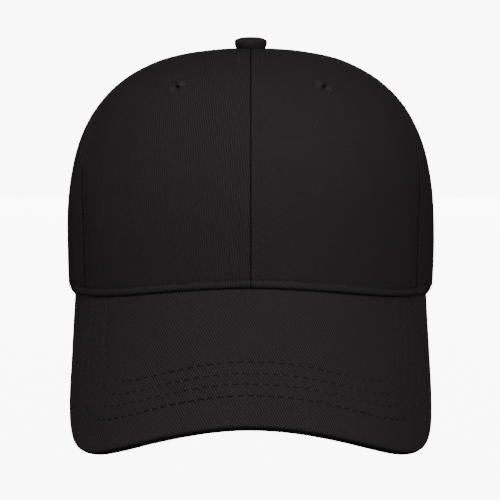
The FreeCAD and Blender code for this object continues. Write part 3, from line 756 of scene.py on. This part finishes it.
def make_panel(place, side, seed):
    start, end = PANELS[place]
    if side == "right":
        start, end = mirrored(end), mirrored(start)
    azimuths, levels, heights, distances = panel_grid(start, end)
    plain, normals = crown_line(azimuths, levels)
    hole = crown_point(*air_hole(place, side))
    relief = panel_relief(plain, azimuths, distances, heights, hole, seed)
    node = "%s_panel_%s" % (place, side)
    rib_turn, straight_edge = PANEL_CLOTH[place, side]
    obj = grid_object(node + "_cloth", plain + normals * relief[..., None],
                      cloth_places(plain, straight_edge), CROWN_TWILL, rib_turn)
    thicken(obj, PANEL_THICK)
    apply_modifiers(obj)
    cut_away(obj, air_hole_bar(place, side))
    if place == "rear":
        cut_away(obj, arch_bar(0.0))
    finish_piece(obj, node)


LINE_DEPTH, SEAM_THREAD_DEPTH = 0.12, 0.55


def seam_line(seam, offset, top_radius=9.0):
    """Line beside a seam at a distance, on the cloth, with its normals."""
    low = level_at(seam(-1.0), float(crown_edge(float(seam(-1.0)))) + HEM_STITCH_HEIGHT)
    high = level_at_radius(float(seam(1.0)), top_radius)
    levels = np.concatenate([np.linspace(low, 0.0, 12)[:-1], high * np.linspace(0.0, 1.0, 70) ** 1.2])
    room = crown_section(0.0, levels)[0]
    shift = offset * np.minimum(1.0, room / 16.0)
    return crown_line(seam(levels) + shift * degrees_per_mm(seam(levels), levels), levels, LINE_DEPTH)


def arch_place(turn, grow):
    """Azimuth and level on the crown at an angle round the rear opening's edge."""
    side = (ARCH_HALF_WIDTH + grow) * np.cos(turn)
    height = (ARCH_TALL + grow) * np.sin(turn)
    azimuth = np.full_like(side, 180.0)
    for _ in range(4):
        level = level_at(azimuth, height)
        wide = crown_section(azimuth, level)[0]
        azimuth = 180.0 - np.degrees(np.arcsin(np.clip(side / wide, -1.0, 1.0)))
    return azimuth, level


def outside_arch(points, normals, grow=6.5):
    """The part of a line that lies clear of the rear opening and its binding."""
    inside = (points[:, 0] / (ARCH_HALF_WIDTH + grow)) ** 2 + (points[:, 2] / (ARCH_TALL + grow)) ** 2 < 1.0
    keep = ~(inside & (points[:, 1] > 0.0))
    return points[keep], normals[keep]


def make_topstitching():
    """Rows of stitches beside each seam, and near-black thread down in it as painted shade in the seam."""
    for name, seam in SEAMS.items():
        lines = [outside_arch(*seam_line(seam, offset)) for offset in (-TOPSTITCH_OFFSET, TOPSTITCH_OFFSET)]
        sew("topstitch_" + name, lines, radius=0.13)
        points, normals = outside_arch(*seam_line(seam, 0.0))
        joined = [(points - normals * SEAM_THREAD_DEPTH, normals)]
        # The seam thread is near-black: painted shade in the seam's crevice.
        sew("seam_thread_" + name, joined, PAINTED_SHADE_THREAD, pitch=1.6, length=1.25, radius=0.2)


def make_hem_stitching():
    """Row of stitches round the lower edge, from one side of the rear opening to the other."""
    reach = 180.0 - math.degrees(math.asin((ARCH_HALF_WIDTH + 5.0) / CROWN_HALF_WIDTH))
    azimuths = np.linspace(-reach, reach, 320)
    levels = level_at(azimuths, crown_edge(azimuths) + HEM_STITCH_HEIGHT)
    sew("hem_stitching", [crown_line(azimuths, levels, LINE_DEPTH)], radius=0.18)


# ------ embroidered air holes

RING_OUTER, RING_INNER = 5.5, 1.1
RING_TURNS = 192
RING_STITCHES = 24
RING_PROFILE = 12
RING_MAP = 6.0
RING_LIFT, RING_START, RING_ROUNDNESS = 0.6, 0.15, 0.6
RING_UNEVEN, RING_WANDER = 0.35, 0.15
STITCH_CREST, STITCH_SWELL = 0.55, 0.45
RING_END, RING_END_DROP = 0.99, 0.25
BARREL_FLARE, BARREL_TOP, BARREL_DEEP = 0.15, 0.2, 2.05


def eyelet_thread():
    """Satin stitches that run out from the hole, each painted dark at its edges and light on its crest:
    painted shade and painted highlight.
    """
    made = Nodes("satin_thread")
    stitch = made.bands(made.cloth_map(), RING_MAP * FULL_TURN / RING_STITCHES, "X", distortion=0.2)
    patch = made.noise(made.object_map(), 300.0, detail=2.0)
    # Dark edges and light crests of the stitches: painted shade and painted highlight.
    tone = made.blend(stitch, shade(BLACK, 0.3), shade(BLACK, 2.1))
    tone = made.blend(made.times(patch, 0.3), tone, shade(BLACK, 1.1))
    return made.surface(tone, (stitch, 0.1, 0.6), (stitch, 0.0002, 0.8), Specular_IOR_Level=0.03)


SATIN = eyelet_thread()


def make_eyelet(place, side, seed):
    """Ring of satin stitches round an air hole, and the barrel of stitches through the cloth, near-black as
    painted shade in the hole.
    """
    azimuth, level = air_hole(place, side)
    per_mm = float(degrees_per_mm(azimuth, level))
    rise = np.linalg.norm(crown_point(azimuth, level + 0.01) - crown_point(azimuth, level - 0.01)) / 0.02
    turns = np.linspace(0.0, FULL_TURN, RING_TURNS + 1)
    name = "eyelet_%s_%s" % (place, side)

    def around(turn, radius, lift):
        across, up = radius * np.cos(turn), radius * np.sin(turn)
        return crown_point(azimuth + across * per_mm, level + up / rise, -lift)

    turn, share = np.meshgrid(turns, np.linspace(0.0, 1.0, RING_PROFILE), indexing="ij")
    ripple = np.sin(turn * RING_STITCHES)
    uneven = RING_UNEVEN * np.sin(turn * RING_STITCHES / 2 + seed)
    uneven = uneven + RING_WANDER * np.sin(turn * 5.0 + seed * 2.0)
    radius = RING_INNER + (RING_OUTER - RING_INNER + uneven * share) * share ** 0.9
    arch = np.sin(np.pi * np.clip(share * (1.0 - RING_START) + RING_START, 0.0, 1.0)) ** RING_ROUNDNESS
    lift = RING_LIFT * arch * (STITCH_CREST + STITCH_SWELL * ripple)
    lift = lift - RING_END_DROP * (share > RING_END)
    quarter = QUARTER_TURN / RING_STITCHES
    places = np.stack([(turn + quarter) * RING_MAP, radius], -1)
    ring = grid_object(name + "_stitching", around(turn, radius, lift), places, SATIN)
    finish_piece(ring, name)
    turn, share = np.meshgrid(turns, np.linspace(0.0, 1.0, 5), indexing="ij")
    barrel = around(turn, RING_INNER + BARREL_FLARE * (1.0 - share), BARREL_TOP - BARREL_DEEP * share)
    # The barrel is near-black: painted shade in the hole.
    wall = grid_object(name + "_barrel", barrel, np.stack([turn * RING_MAP, share], -1), PAINTED_SHADE_THREAD)
    finish_piece(wall)


# ------ button

BUTTON_SHOULDER, BUTTON_DOME, BUTTON_FLOOR = 0.82, 0.86, 3.0
GATHERS, GATHER_DEPTH, GATHER_TALL = 26.0, 0.10, 2.6
BUTTON_WANDER = 0.05


def make_button():
    """Cloth stretched over a domed shell and gathered under its edge."""
    over, under = np.linspace(0.0, QUARTER_TURN, 22), np.linspace(0.0, QUARTER_TURN, 10)[1:]
    widest = BUTTON_BASE + BUTTON_WIDEST
    dome = np.maximum(np.cos(over), 0.0) ** BUTTON_DOME
    radius = np.concatenate([BUTTON_RADIUS * np.sin(over) ** BUTTON_SHOULDER,
                             BUTTON_RADIUS - BUTTON_TUCK * (1.0 - np.cos(under)),
                             [BUTTON_RADIUS - BUTTON_FLOOR]])
    height = np.concatenate([widest + (BUTTON_TALL - BUTTON_WIDEST) * dome,
                             widest - (BUTTON_WIDEST + BUTTON_SINK) * np.sin(under),
                             [BUTTON_BASE - BUTTON_SINK]])
    turns = np.linspace(0.0, FULL_TURN, 121)
    turn, radius = np.meshgrid(turns, radius, indexing="ij")
    height = np.broadcast_to(height, turn.shape)
    low = eased((BUTTON_BASE + GATHER_TALL - height) / GATHER_TALL)
    gather = low * GATHER_DEPTH * np.sin(turn * GATHERS)
    wander = BUTTON_WANDER * np.sin(turn * 3.0 + height)
    reach = radius * (1.0 + wander / BUTTON_RADIUS) + gather * (radius > BUTTON_FLOOR)
    grid = np.stack([reach * np.cos(turn), reach * np.sin(turn), height], -1)
    along = run_length(grid[0])
    places = np.stack([np.outer(np.cos(turns), along), np.outer(np.sin(turns), along)], -1)
    obj = grid_object("button_cover_cloth", grid, places, BUTTON_TWILL, 35.0)
    finish_piece(obj, "button_cover")


# ------ visor

ROW_COLUMNS = 150
OUTER_INSETS = 36.0
INNER_ROWS = 14
SQUARER_INSIDE = 0.034    # rise of the squareness per mm of inset
SIDE_REACH, MIDDLE_ZONE = 60.0, 20.0
ROW_GAP, ROW_STEPS = 1.3, (-1.0, -0.6, -0.3, 0.0, 0.3, 0.6, 1.0)
QUILT_GROOVE, QUILT_RAISE, EDGE_ROLL = (0.2, 0.42), 0.12, 1.2
COARSE_UNEVEN, FINE_UNEVEN = (0.16, 30.0), (0.05, 6.0)


def visor_outline(inset):
    """Half of a line parallel to the pattern's edge, from the front middle back to the side."""
    wide, reach = VISOR_HALF_WIDTH - inset, VISOR_REACH - inset
    power = 2.0 / (VISOR_SQUARENESS + SQUARER_INSIDE * inset)
    turn = np.linspace(0.0, QUARTER_TURN, 160)
    across = wide * np.sin(turn) ** power
    ahead = VISOR_SQUARE_START + (reach - VISOR_SQUARE_START) * np.maximum(np.cos(turn), 0.0) ** power
    back = np.linspace(0.0, SIDE_REACH, 120)[1:]
    across = np.concatenate([across, wide - VISOR_SIDE_TAPER * back * back / 1000.0])
    ahead = np.concatenate([ahead, VISOR_SQUARE_START - back])
    return across, ahead


def visor_seam(depth):
    """Half of the line where the visor meets the crown, on the flat pattern."""
    azimuths = np.linspace(0.0, 80.0, 400)
    place = crown_point(azimuths, level_at(azimuths, VISOR_FRONT_HEIGHT), depth)
    return flat_place(place[:, 0], -place[:, 1])


def resample(across, ahead, count):
    lengths = np.concatenate([[0.0], np.cumsum(np.hypot(np.diff(across), np.diff(ahead)))])
    wanted = np.linspace(0.0, lengths[-1], count)
    return np.interp(wanted, lengths, across), np.interp(wanted, lengths, ahead)


def visor_row(inset, depth, count):
    """A parallel line cut off where it reaches the crown seam."""
    across, ahead = visor_outline(inset)
    seam_across, seam_ahead = visor_seam(depth)
    limit = np.interp(across, seam_across, seam_ahead)
    beyond = np.where((ahead < limit) & (across > MIDDLE_ZONE))[0]
    if len(beyond):
        last = beyond[0]
        before, after = (ahead - limit)[last - 1], (limit - ahead)[last]
        share = before / (before + after)
        across, ahead = (np.append(line[:last], line[last - 1] + (line[last] - line[last - 1]) * share)
                         for line in (across, ahead))
    return resample(across, ahead, count)


def both_halves(half_across, half_ahead):
    across = np.concatenate([-half_across[:0:-1], half_across])
    ahead = np.concatenate([half_ahead[:0:-1], half_ahead])
    return across, ahead


def visor_insets():
    """Insets of the grid's rows: close together at the edge and at each row of stitches."""
    insets = set(np.arange(-EDGE_PROUD, OUTER_INSETS + 0.1, 1.5))
    insets |= {0.35 - EDGE_PROUD, 0.8 - EDGE_PROUD}
    for row in VISOR_ROW_INSETS:
        insets = {value for value in insets if abs(value - row) > ROW_GAP}
        insets |= {row + step for step in ROW_STEPS}
    return sorted(insets)


def visor_relief(inset):
    """Soft quilting: pulled in at each row of stitches and rounded between the rows."""
    inside = VISOR_ROW_INSETS[0] < inset < VISOR_ROW_INSETS[-1]
    return QUILT_RAISE * inside - sum(groove(inset, QUILT_GROOVE, row) for row in VISOR_ROW_INSETS)


def make_visor_cover(name, node, under, seed):
    """Cloth over one face of the visor, rolled round its edge to meet the other."""
    half = ROW_COLUMNS // 2 + 1
    rows, depths = [], []
    roll = (VISOR_THICK + TOP_PROUD + UNDER_PROUD) / 2
    for inset in visor_insets():
        rows.append(both_halves(*visor_row(inset, VISOR_TUCK, half)))
        edge = max(0.0, 1.0 - (inset + EDGE_PROUD) / EDGE_ROLL)
        rolled = roll * (1.0 - math.sqrt(max(0.0, 1.0 - edge * edge)))
        depths.append(rolled - visor_relief(inset))
    inner = rows[-1]
    seam_across, seam_ahead = visor_seam(VISOR_TUCK)
    keep = seam_across <= np.max(inner[0])
    seam = both_halves(*resample(seam_across[keep], seam_ahead[keep], half))
    for share in np.arange(1, INNER_ROWS + 1) / INNER_ROWS:
        rows.append([start + (end - start) * share for start, end in zip(inner, seam)])
        depths.append(0.0)
    across, ahead = (np.stack(part, -1) for part in zip(*rows))
    flat = np.stack([across, ahead, np.zeros_like(across)], -1)
    uneven = sum(depth * soft_noise(flat, size, seed + step)
                 for step, (depth, size) in enumerate((COARSE_UNEVEN, FINE_UNEVEN)))
    depth = np.array(depths) - uneven
    depth = VISOR_THICK + UNDER_PROUD - depth if under else depth - TOP_PROUD
    obj = grid_object(name, visor_point(across, ahead, depth), flat[..., :2], VISOR_TWILL, 24.0)
    if under:
        obj.data.flip_normals()
    thicken(obj, COVER_THICK)
    finish_piece(obj, node)


# Share of each row's half width, from the middle, sewn in painted-shade thread; the sides beyond it are in
# plain black thread.
FRONT_SHARE = 0.86


def row_parts(across, ahead, inset):
    """A row of visor stitches in three parts: its front, and its two sides."""
    corner = FRONT_SHARE * (VISOR_HALF_WIDTH - inset)
    for part in (np.abs(across) <= corner, across > corner, across < -corner):
        yield across[part], ahead[part]


def make_visor_stitching():
    """Near-black stitches with pale ends along the front of each row, as painted shade and painted
    highlight, and finer ones down its sides.
    """
    faces = (("top", 1.0, STITCH_SINK - TOP_PROUD),
             ("under", -1.0, VISOR_THICK + UNDER_PROUD - STITCH_SINK))
    for name, sign, depth in faces:
        fronts, sides = [], []
        for inset in VISOR_ROW_INSETS:
            row = both_halves(*visor_row(inset, 0.5, 160))
            for number, (across, ahead) in enumerate(row_parts(*row, inset)):
                points = visor_point(across, ahead, depth)
                other = visor_point(across, ahead, depth + 1.0)
                (sides if number else fronts).append((points, unit(points - other) * sign))
        # The front is near-black thread as painted shade, with short pale stitches between as painted
        # highlight.
        rows = (("front", fronts, PAINTED_SHADE_THREAD, 3.4, 0.2, 0.5),
                ("ends", fronts, PAINTED_HIGHLIGHT_THREAD, 0.9, 0.2, 0.0),
                ("sides", sides, THREAD, 3.2, 0.17, 0.5))
        for part, lines, thread, length, radius, start in rows:
            sew("visor_stitching_%s_%s" % (name, part), lines, thread, VISOR_STITCH_PITCH,
                length, radius, start)


# ------ inside the crown

def crown_strip(name, azimuths, levels, depths, material):
    points = crown_point(azimuths, levels, depths)
    return grid_object(name, points, cloth_places(points), material)


def make_tape(name):
    """Domed tape over a seam, with a stitched channel along each edge."""
    seam, node = SEAMS[name], "seam_tape_" + name
    top = float(level_at_radius(float(seam(1.0)), 7.5))
    start = float(seam(-1.0))
    low = float(level_at(start, edge_height(start, TAPE_DEPTH, 0.6)))
    levels = np.concatenate([np.linspace(low, 0.0, 10)[:-1], top * np.linspace(0.0, 1.0, 60) ** 1.2])
    shares = np.array([-1.0, -0.96, -0.86, -0.8, -0.74, -0.5, 0.0, 0.5, 0.74, 0.8, 0.86, 0.96, 1.0])
    half = np.minimum(7.0, 0.35 * crown_section(0.0, levels)[0])
    share, level = np.meshgrid(shares, levels, indexing="ij")
    azimuth = seam(level) + share * half[None, :] * degrees_per_mm(seam(level), level)
    bulge = 0.45 * (1.0 - share ** 2) - 0.2 * bell(np.abs(share), 0.8, 0.05)
    obj = crown_strip(node + "_weave", azimuth, level, TAPE_DEPTH + 0.1 + bulge, TAPE)
    thicken(obj, 0.35, 0.0)
    if name == "rear_centre":
        apply_modifiers(obj)
        cut_away(obj, arch_bar(1.0))
    finish_piece(obj, node)


BUCKRAM_MARGIN, BUCKRAM_DEPTH, BUCKRAM_CLEAR, BUCKRAM_TOP_RADIUS = 5.0, 1.3, 2.0, 22.0


def make_buckram(side):
    """Stiffener behind a front panel, clear of the seams."""
    shares = np.linspace(0.0, 1.0, 24)
    base = BUCKRAM_MARGIN * float(degrees_per_mm(0.0, -1.0))
    azimuth = base + (FRONT_SEAM - 2 * base) * shares
    low = level_at(azimuth, edge_height(azimuth, BUCKRAM_DEPTH, BUCKRAM_CLEAR))
    top = float(level_at_radius(40.0, BUCKRAM_TOP_RADIUS))
    rows = np.linspace(0.0, 1.0, 40)
    level = low[:, None] + (top - low[:, None]) * rows[None, :]
    start = BUCKRAM_MARGIN * degrees_per_mm(0.0, level)
    end = front_seam(level) - BUCKRAM_MARGIN * degrees_per_mm(70.0, level)
    azimuth = start + (end - start) * shares[:, None]
    uneven = 0.12 * soft_noise(crown_point(azimuth, level), 25.0, 4 if side == "left" else 5)
    obj = crown_strip("buckram_%s_cloth" % side, SIGNS[side] * azimuth, level,
                      BUCKRAM_DEPTH + 0.05 - uneven, BUCKRAM)
    thicken(obj, 0.45, 0.0)
    apply_modifiers(obj)
    cut_away(obj, air_hole_bar("front", side))
    finish_piece(obj, "buckram_" + side)


BAND_FROM_ARCH, BAND_CLEAR, BAND_MAP = 4.0, 0.3, 260.0
BAND_SEWN_AT = (3.0, BAND_TALL - 3.2)
BAND_SQUARENESS = (0.30, 0.8)    # of its section, across and up: the lower, the squarer
PAD_SWELL, PAD_UNEVEN = 0.55, 0.18


def band_end(height):
    """Azimuth where the sweatband stops beside the rear opening."""
    wide, tall = ARCH_HALF_WIDTH + BAND_FROM_ARCH, ARCH_TALL + BAND_FROM_ARCH
    side = wide * np.sqrt(np.maximum(1.0 - (height / tall) ** 2, 0.0))
    return 180.0 - np.degrees(np.arcsin(side / (CROWN_HALF_WIDTH - BAND_DEPTH)))


def make_sweatband():
    """Padded band: a closed loop of cloth round its cross-section, carried round the head."""
    turns = np.linspace(0.0, FULL_TURN, 40, endpoint=False)
    side, rise = (np.sign(wave) * np.abs(wave) ** power
                  for wave, power in zip((np.cos(turns), np.sin(turns)), BAND_SQUARENESS))
    columns = np.linspace(-1.0, 1.0, 360)
    column, ring = np.meshgrid(columns, np.arange(len(turns)), indexing="ij")
    up = (rise[ring] + 1.0) / 2.0
    height = up * BAND_TALL
    azimuth = column * band_end(height)
    level = level_at(azimuth, edge_height(azimuth, BAND_DEPTH + BAND_THICK, BAND_CLEAR) + height)
    inward = side[ring] > 0
    uneven = PAD_UNEVEN * soft_noise(crown_point(azimuth, level), 9.0, 8)
    pad = PAD_SWELL * np.sin(np.pi * up) ** 0.7 + uneven
    channel = groove(height, (0.55, 0.8), BAND_SEWN_AT[1]) + groove(height, (0.4, 0.8), BAND_SEWN_AT[0])
    depth = BAND_DEPTH + BAND_THICK / 2 + side[ring] * BAND_THICK / 2 * 0.95
    depth = depth + np.where(inward, pad - channel, 0.0)
    places = np.stack([column * BAND_MAP, height + 40.0 * inward], -1)
    obj = grid_object("sweatband_cloth", crown_point(azimuth, level, depth), places, BAND_TWILL, 28.0,
                      closed_rows=True)
    finish_piece(obj, "sweatband")
    lines = []
    for height in BAND_SEWN_AT:
        around = np.linspace(-1.0, 1.0, 300) * float(band_end(height))
        levels = level_at(around, edge_height(around, BAND_DEPTH + BAND_THICK, BAND_CLEAR) + height)
        points, normals = crown_line(around, levels, BAND_DEPTH + BAND_THICK + 0.1)
        lines.append((points, -normals))
    sew("sweatband_stitching", lines)


LABEL_BASE, LABEL_TALL, LABEL_DEPTH, LABEL_SLACK = 6.0, 22.0, 4.75, 0.5


def make_label():
    """Blank woven label, sewn down along its ends."""
    azimuth, up = np.meshgrid(np.linspace(92.0, 106.0, 20), np.linspace(0.0, LABEL_TALL, 24), indexing="ij")
    lift = LABEL_SLACK * np.sin(np.pi * up / LABEL_TALL)
    level = level_at(azimuth, LABEL_BASE + up)
    obj = crown_strip("care_label_cloth", azimuth, level, LABEL_DEPTH + lift, LABEL)
    thicken(obj, 0.3, 0.0)
    finish_piece(obj, "care_label")


# The folded binding in section, from its outer edge round to its inner edge: distance outside the
# opening, and depth below the crown's outer face.
BINDING_SECTION = ((5.0, -0.28), (4.7, -0.42), (3.9, -0.32), (3.0, -0.44), (1.4, -0.5), (0.3, -0.42),
                   (-0.3, -0.1), (-0.5, 0.45), (-0.3, 1.0), (0.3, 1.3), (2.5, 1.35),
                   (6.0, 1.35), (8.0, 1.3))


def make_binding():
    """Folded tape round the edge of the rear opening, inside and out, above the strap roots."""
    start = math.asin((STRAP_TOP + STRAP_CLEARANCE) / ARCH_TALL)
    turns = np.linspace(start, math.pi - start, 150)
    grid = np.stack([crown_point(*arch_place(turns, grow), depth) for grow, depth in BINDING_SECTION], 1)
    along, across = np.meshgrid(turns * ARCH_TALL, 2.0 * np.arange(len(BINDING_SECTION)), indexing="ij")
    obj = grid_object("opening_binding_tape", grid, np.stack([along, across], -1), TAPE)
    thicken(obj, 0.3, 0.0)
    finish_piece(obj, "opening_binding")
    sew("binding_stitching", [crown_line(*arch_place(turns, 3.9), -0.38)])


# ------ kept frame pieces

def dress_frame_piece(node, material, bevel):
    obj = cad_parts[node]
    for slot in obj.material_slots:
        slot.material = material
    if not obj.material_slots:
        obj.data.materials.append(material)
    modifier = obj.modifiers.new("soft_edges", "BEVEL")
    modifier.width = bevel * MM
    modifier.segments = 2
    modifier.limit_method = "ANGLE"
    modifier.angle_limit = math.radians(40.0)


def dress_frame_pieces():
    for node in ("hole_strap", "peg_strap", "hole_strap_tab", "peg_strap_tab"):
        dress_frame_piece(node, STRAP, 0.2)
    for node in ("button_shell", "button_rivet", "button_base"):
        dress_frame_piece(node, METAL, 0.1)
    dress_frame_piece("visor_board", BOARD, 0.3)


# ------ studio

TARGET_HEIGHT = 0.0221
CAMERA_DISTANCE = 1.1603
CAMERA_ELEVATION = math.radians(5.95)
CAMERA_LENS = 173.25
FLOOR_HEIGHT = -0.13
ROOM_RADIUS, WALL_CURVE = 5.0, 2.0
BACKDROP_GLOW = 9.0
WHITE = (1.0, 1.0, 1.0, 1.0)


def make_backdrop():
    """Pale floor that curves up into a wall and a ceiling all round the cap."""
    curve, dome = np.linspace(0.0, QUARTER_TURN, 12)[1:], np.linspace(0.0, QUARTER_TURN, 10)[1:]
    flat = ROOM_RADIUS - WALL_CURVE
    reach = np.concatenate([[0.0, 1.0, flat], flat + WALL_CURVE * np.sin(curve),
                            ROOM_RADIUS * np.cos(dome)])
    up = np.concatenate([[0.0, 0.0, 0.0], WALL_CURVE * (1.0 - np.cos(curve)),
                         WALL_CURVE + ROOM_RADIUS * np.sin(dome)])
    turn, reach = np.meshgrid(np.linspace(0.0, FULL_TURN, 65), reach, indexing="ij")
    height = FLOOR_HEIGHT + np.broadcast_to(up, turn.shape)
    grid = np.stack([reach * np.cos(turn), reach * np.sin(turn), height], -1) / MM
    white = Nodes("studio_white").plain(Base_Color=shade((0.05, 0.05, 0.05), 1.0), Roughness=0.9,
                                        Emission_Color=WHITE, Emission_Strength=BACKDROP_GLOW)
    obj = grid_object("studio_floor", grid, grid[..., :2], white)
    obj.visible_diffuse = False
    obj.visible_glossy = False
    obj.visible_shadow = False


# Name, place and size in metres, and power in watts.
LIGHTS = (("key", (-0.1, -1.5, 1.4), (2.8, 0.9), 52.0), ("fill", (0.2, -2.2, 0.35), (1.6, 0.8), 7.0),
          ("left_fill", (1.9, -1.2, 0.6), (0.9, 0.9), 15.0),
          ("right_fill", (-1.9, -1.2, 0.6), (0.9, 0.9), 11.0), ("back", (0.0, 2.1, 0.3), (1.5, 0.9), 62.0))
WORLD_GLOW = 0.12


def area_light(name, place, size, power):
    light = bpy.data.lights.new(name, "AREA")
    light.shape = "RECTANGLE"
    light.size, light.size_y = size
    light.energy = power
    obj = bpy.data.objects.new(name, light)
    bpy.context.scene.collection.objects.link(obj)
    obj.location = place
    aim = Vector((0.0, 0.0, 0.03)) - Vector(place)
    obj.rotation_euler = aim.to_track_quat("-Z", "Y").to_euler()


def make_lights():
    world = bpy.data.worlds.new("studio_world")
    world.use_nodes = True
    glow = world.node_tree.nodes["Background"].inputs
    glow["Color"].default_value = WHITE
    glow["Strength"].default_value = WORLD_GLOW
    bpy.context.scene.world = world
    for name, place, size, power in LIGHTS:
        area_light(name + "_light", place, size, power)


def make_camera():
    data = bpy.data.cameras.new("camera")
    data.lens = CAMERA_LENS
    data.sensor_width = 36.0
    data.shift_x = -0.0015
    data.clip_end = 20.0
    obj = bpy.data.objects.new("camera", data)
    bpy.context.scene.collection.objects.link(obj)
    back, up = CAMERA_DISTANCE * math.cos(CAMERA_ELEVATION), CAMERA_DISTANCE * math.sin(CAMERA_ELEVATION)
    obj.location = (0.0, -back, TARGET_HEIGHT + up)
    obj.rotation_euler = (math.pi / 2 - CAMERA_ELEVATION, 0.0, 0.0)
    bpy.context.scene.camera = obj


# ------ build

for number, place in enumerate(PANELS):
    for turn_number, side in enumerate(SIGNS):
        make_panel(place, side, 11 + number * 5 + turn_number * 23)
        make_eyelet(place, side, number + turn_number * 3)
make_topstitching()
make_hem_stitching()
make_button()
make_visor_cover("visor_top_cloth", "visor_top_cover", False, 61)
make_visor_cover("visor_under_cloth", "visor_under_cover", True, 67)
make_visor_stitching()
make_tape("front_centre")
make_tape("rear_centre")
for side in SIGNS:
    make_tape("front_" + side)
    make_tape("rear_" + side)
    make_buckram(side)
make_sweatband()
make_label()
make_binding()
dress_frame_pieces()
make_backdrop()
make_lights()
make_camera()
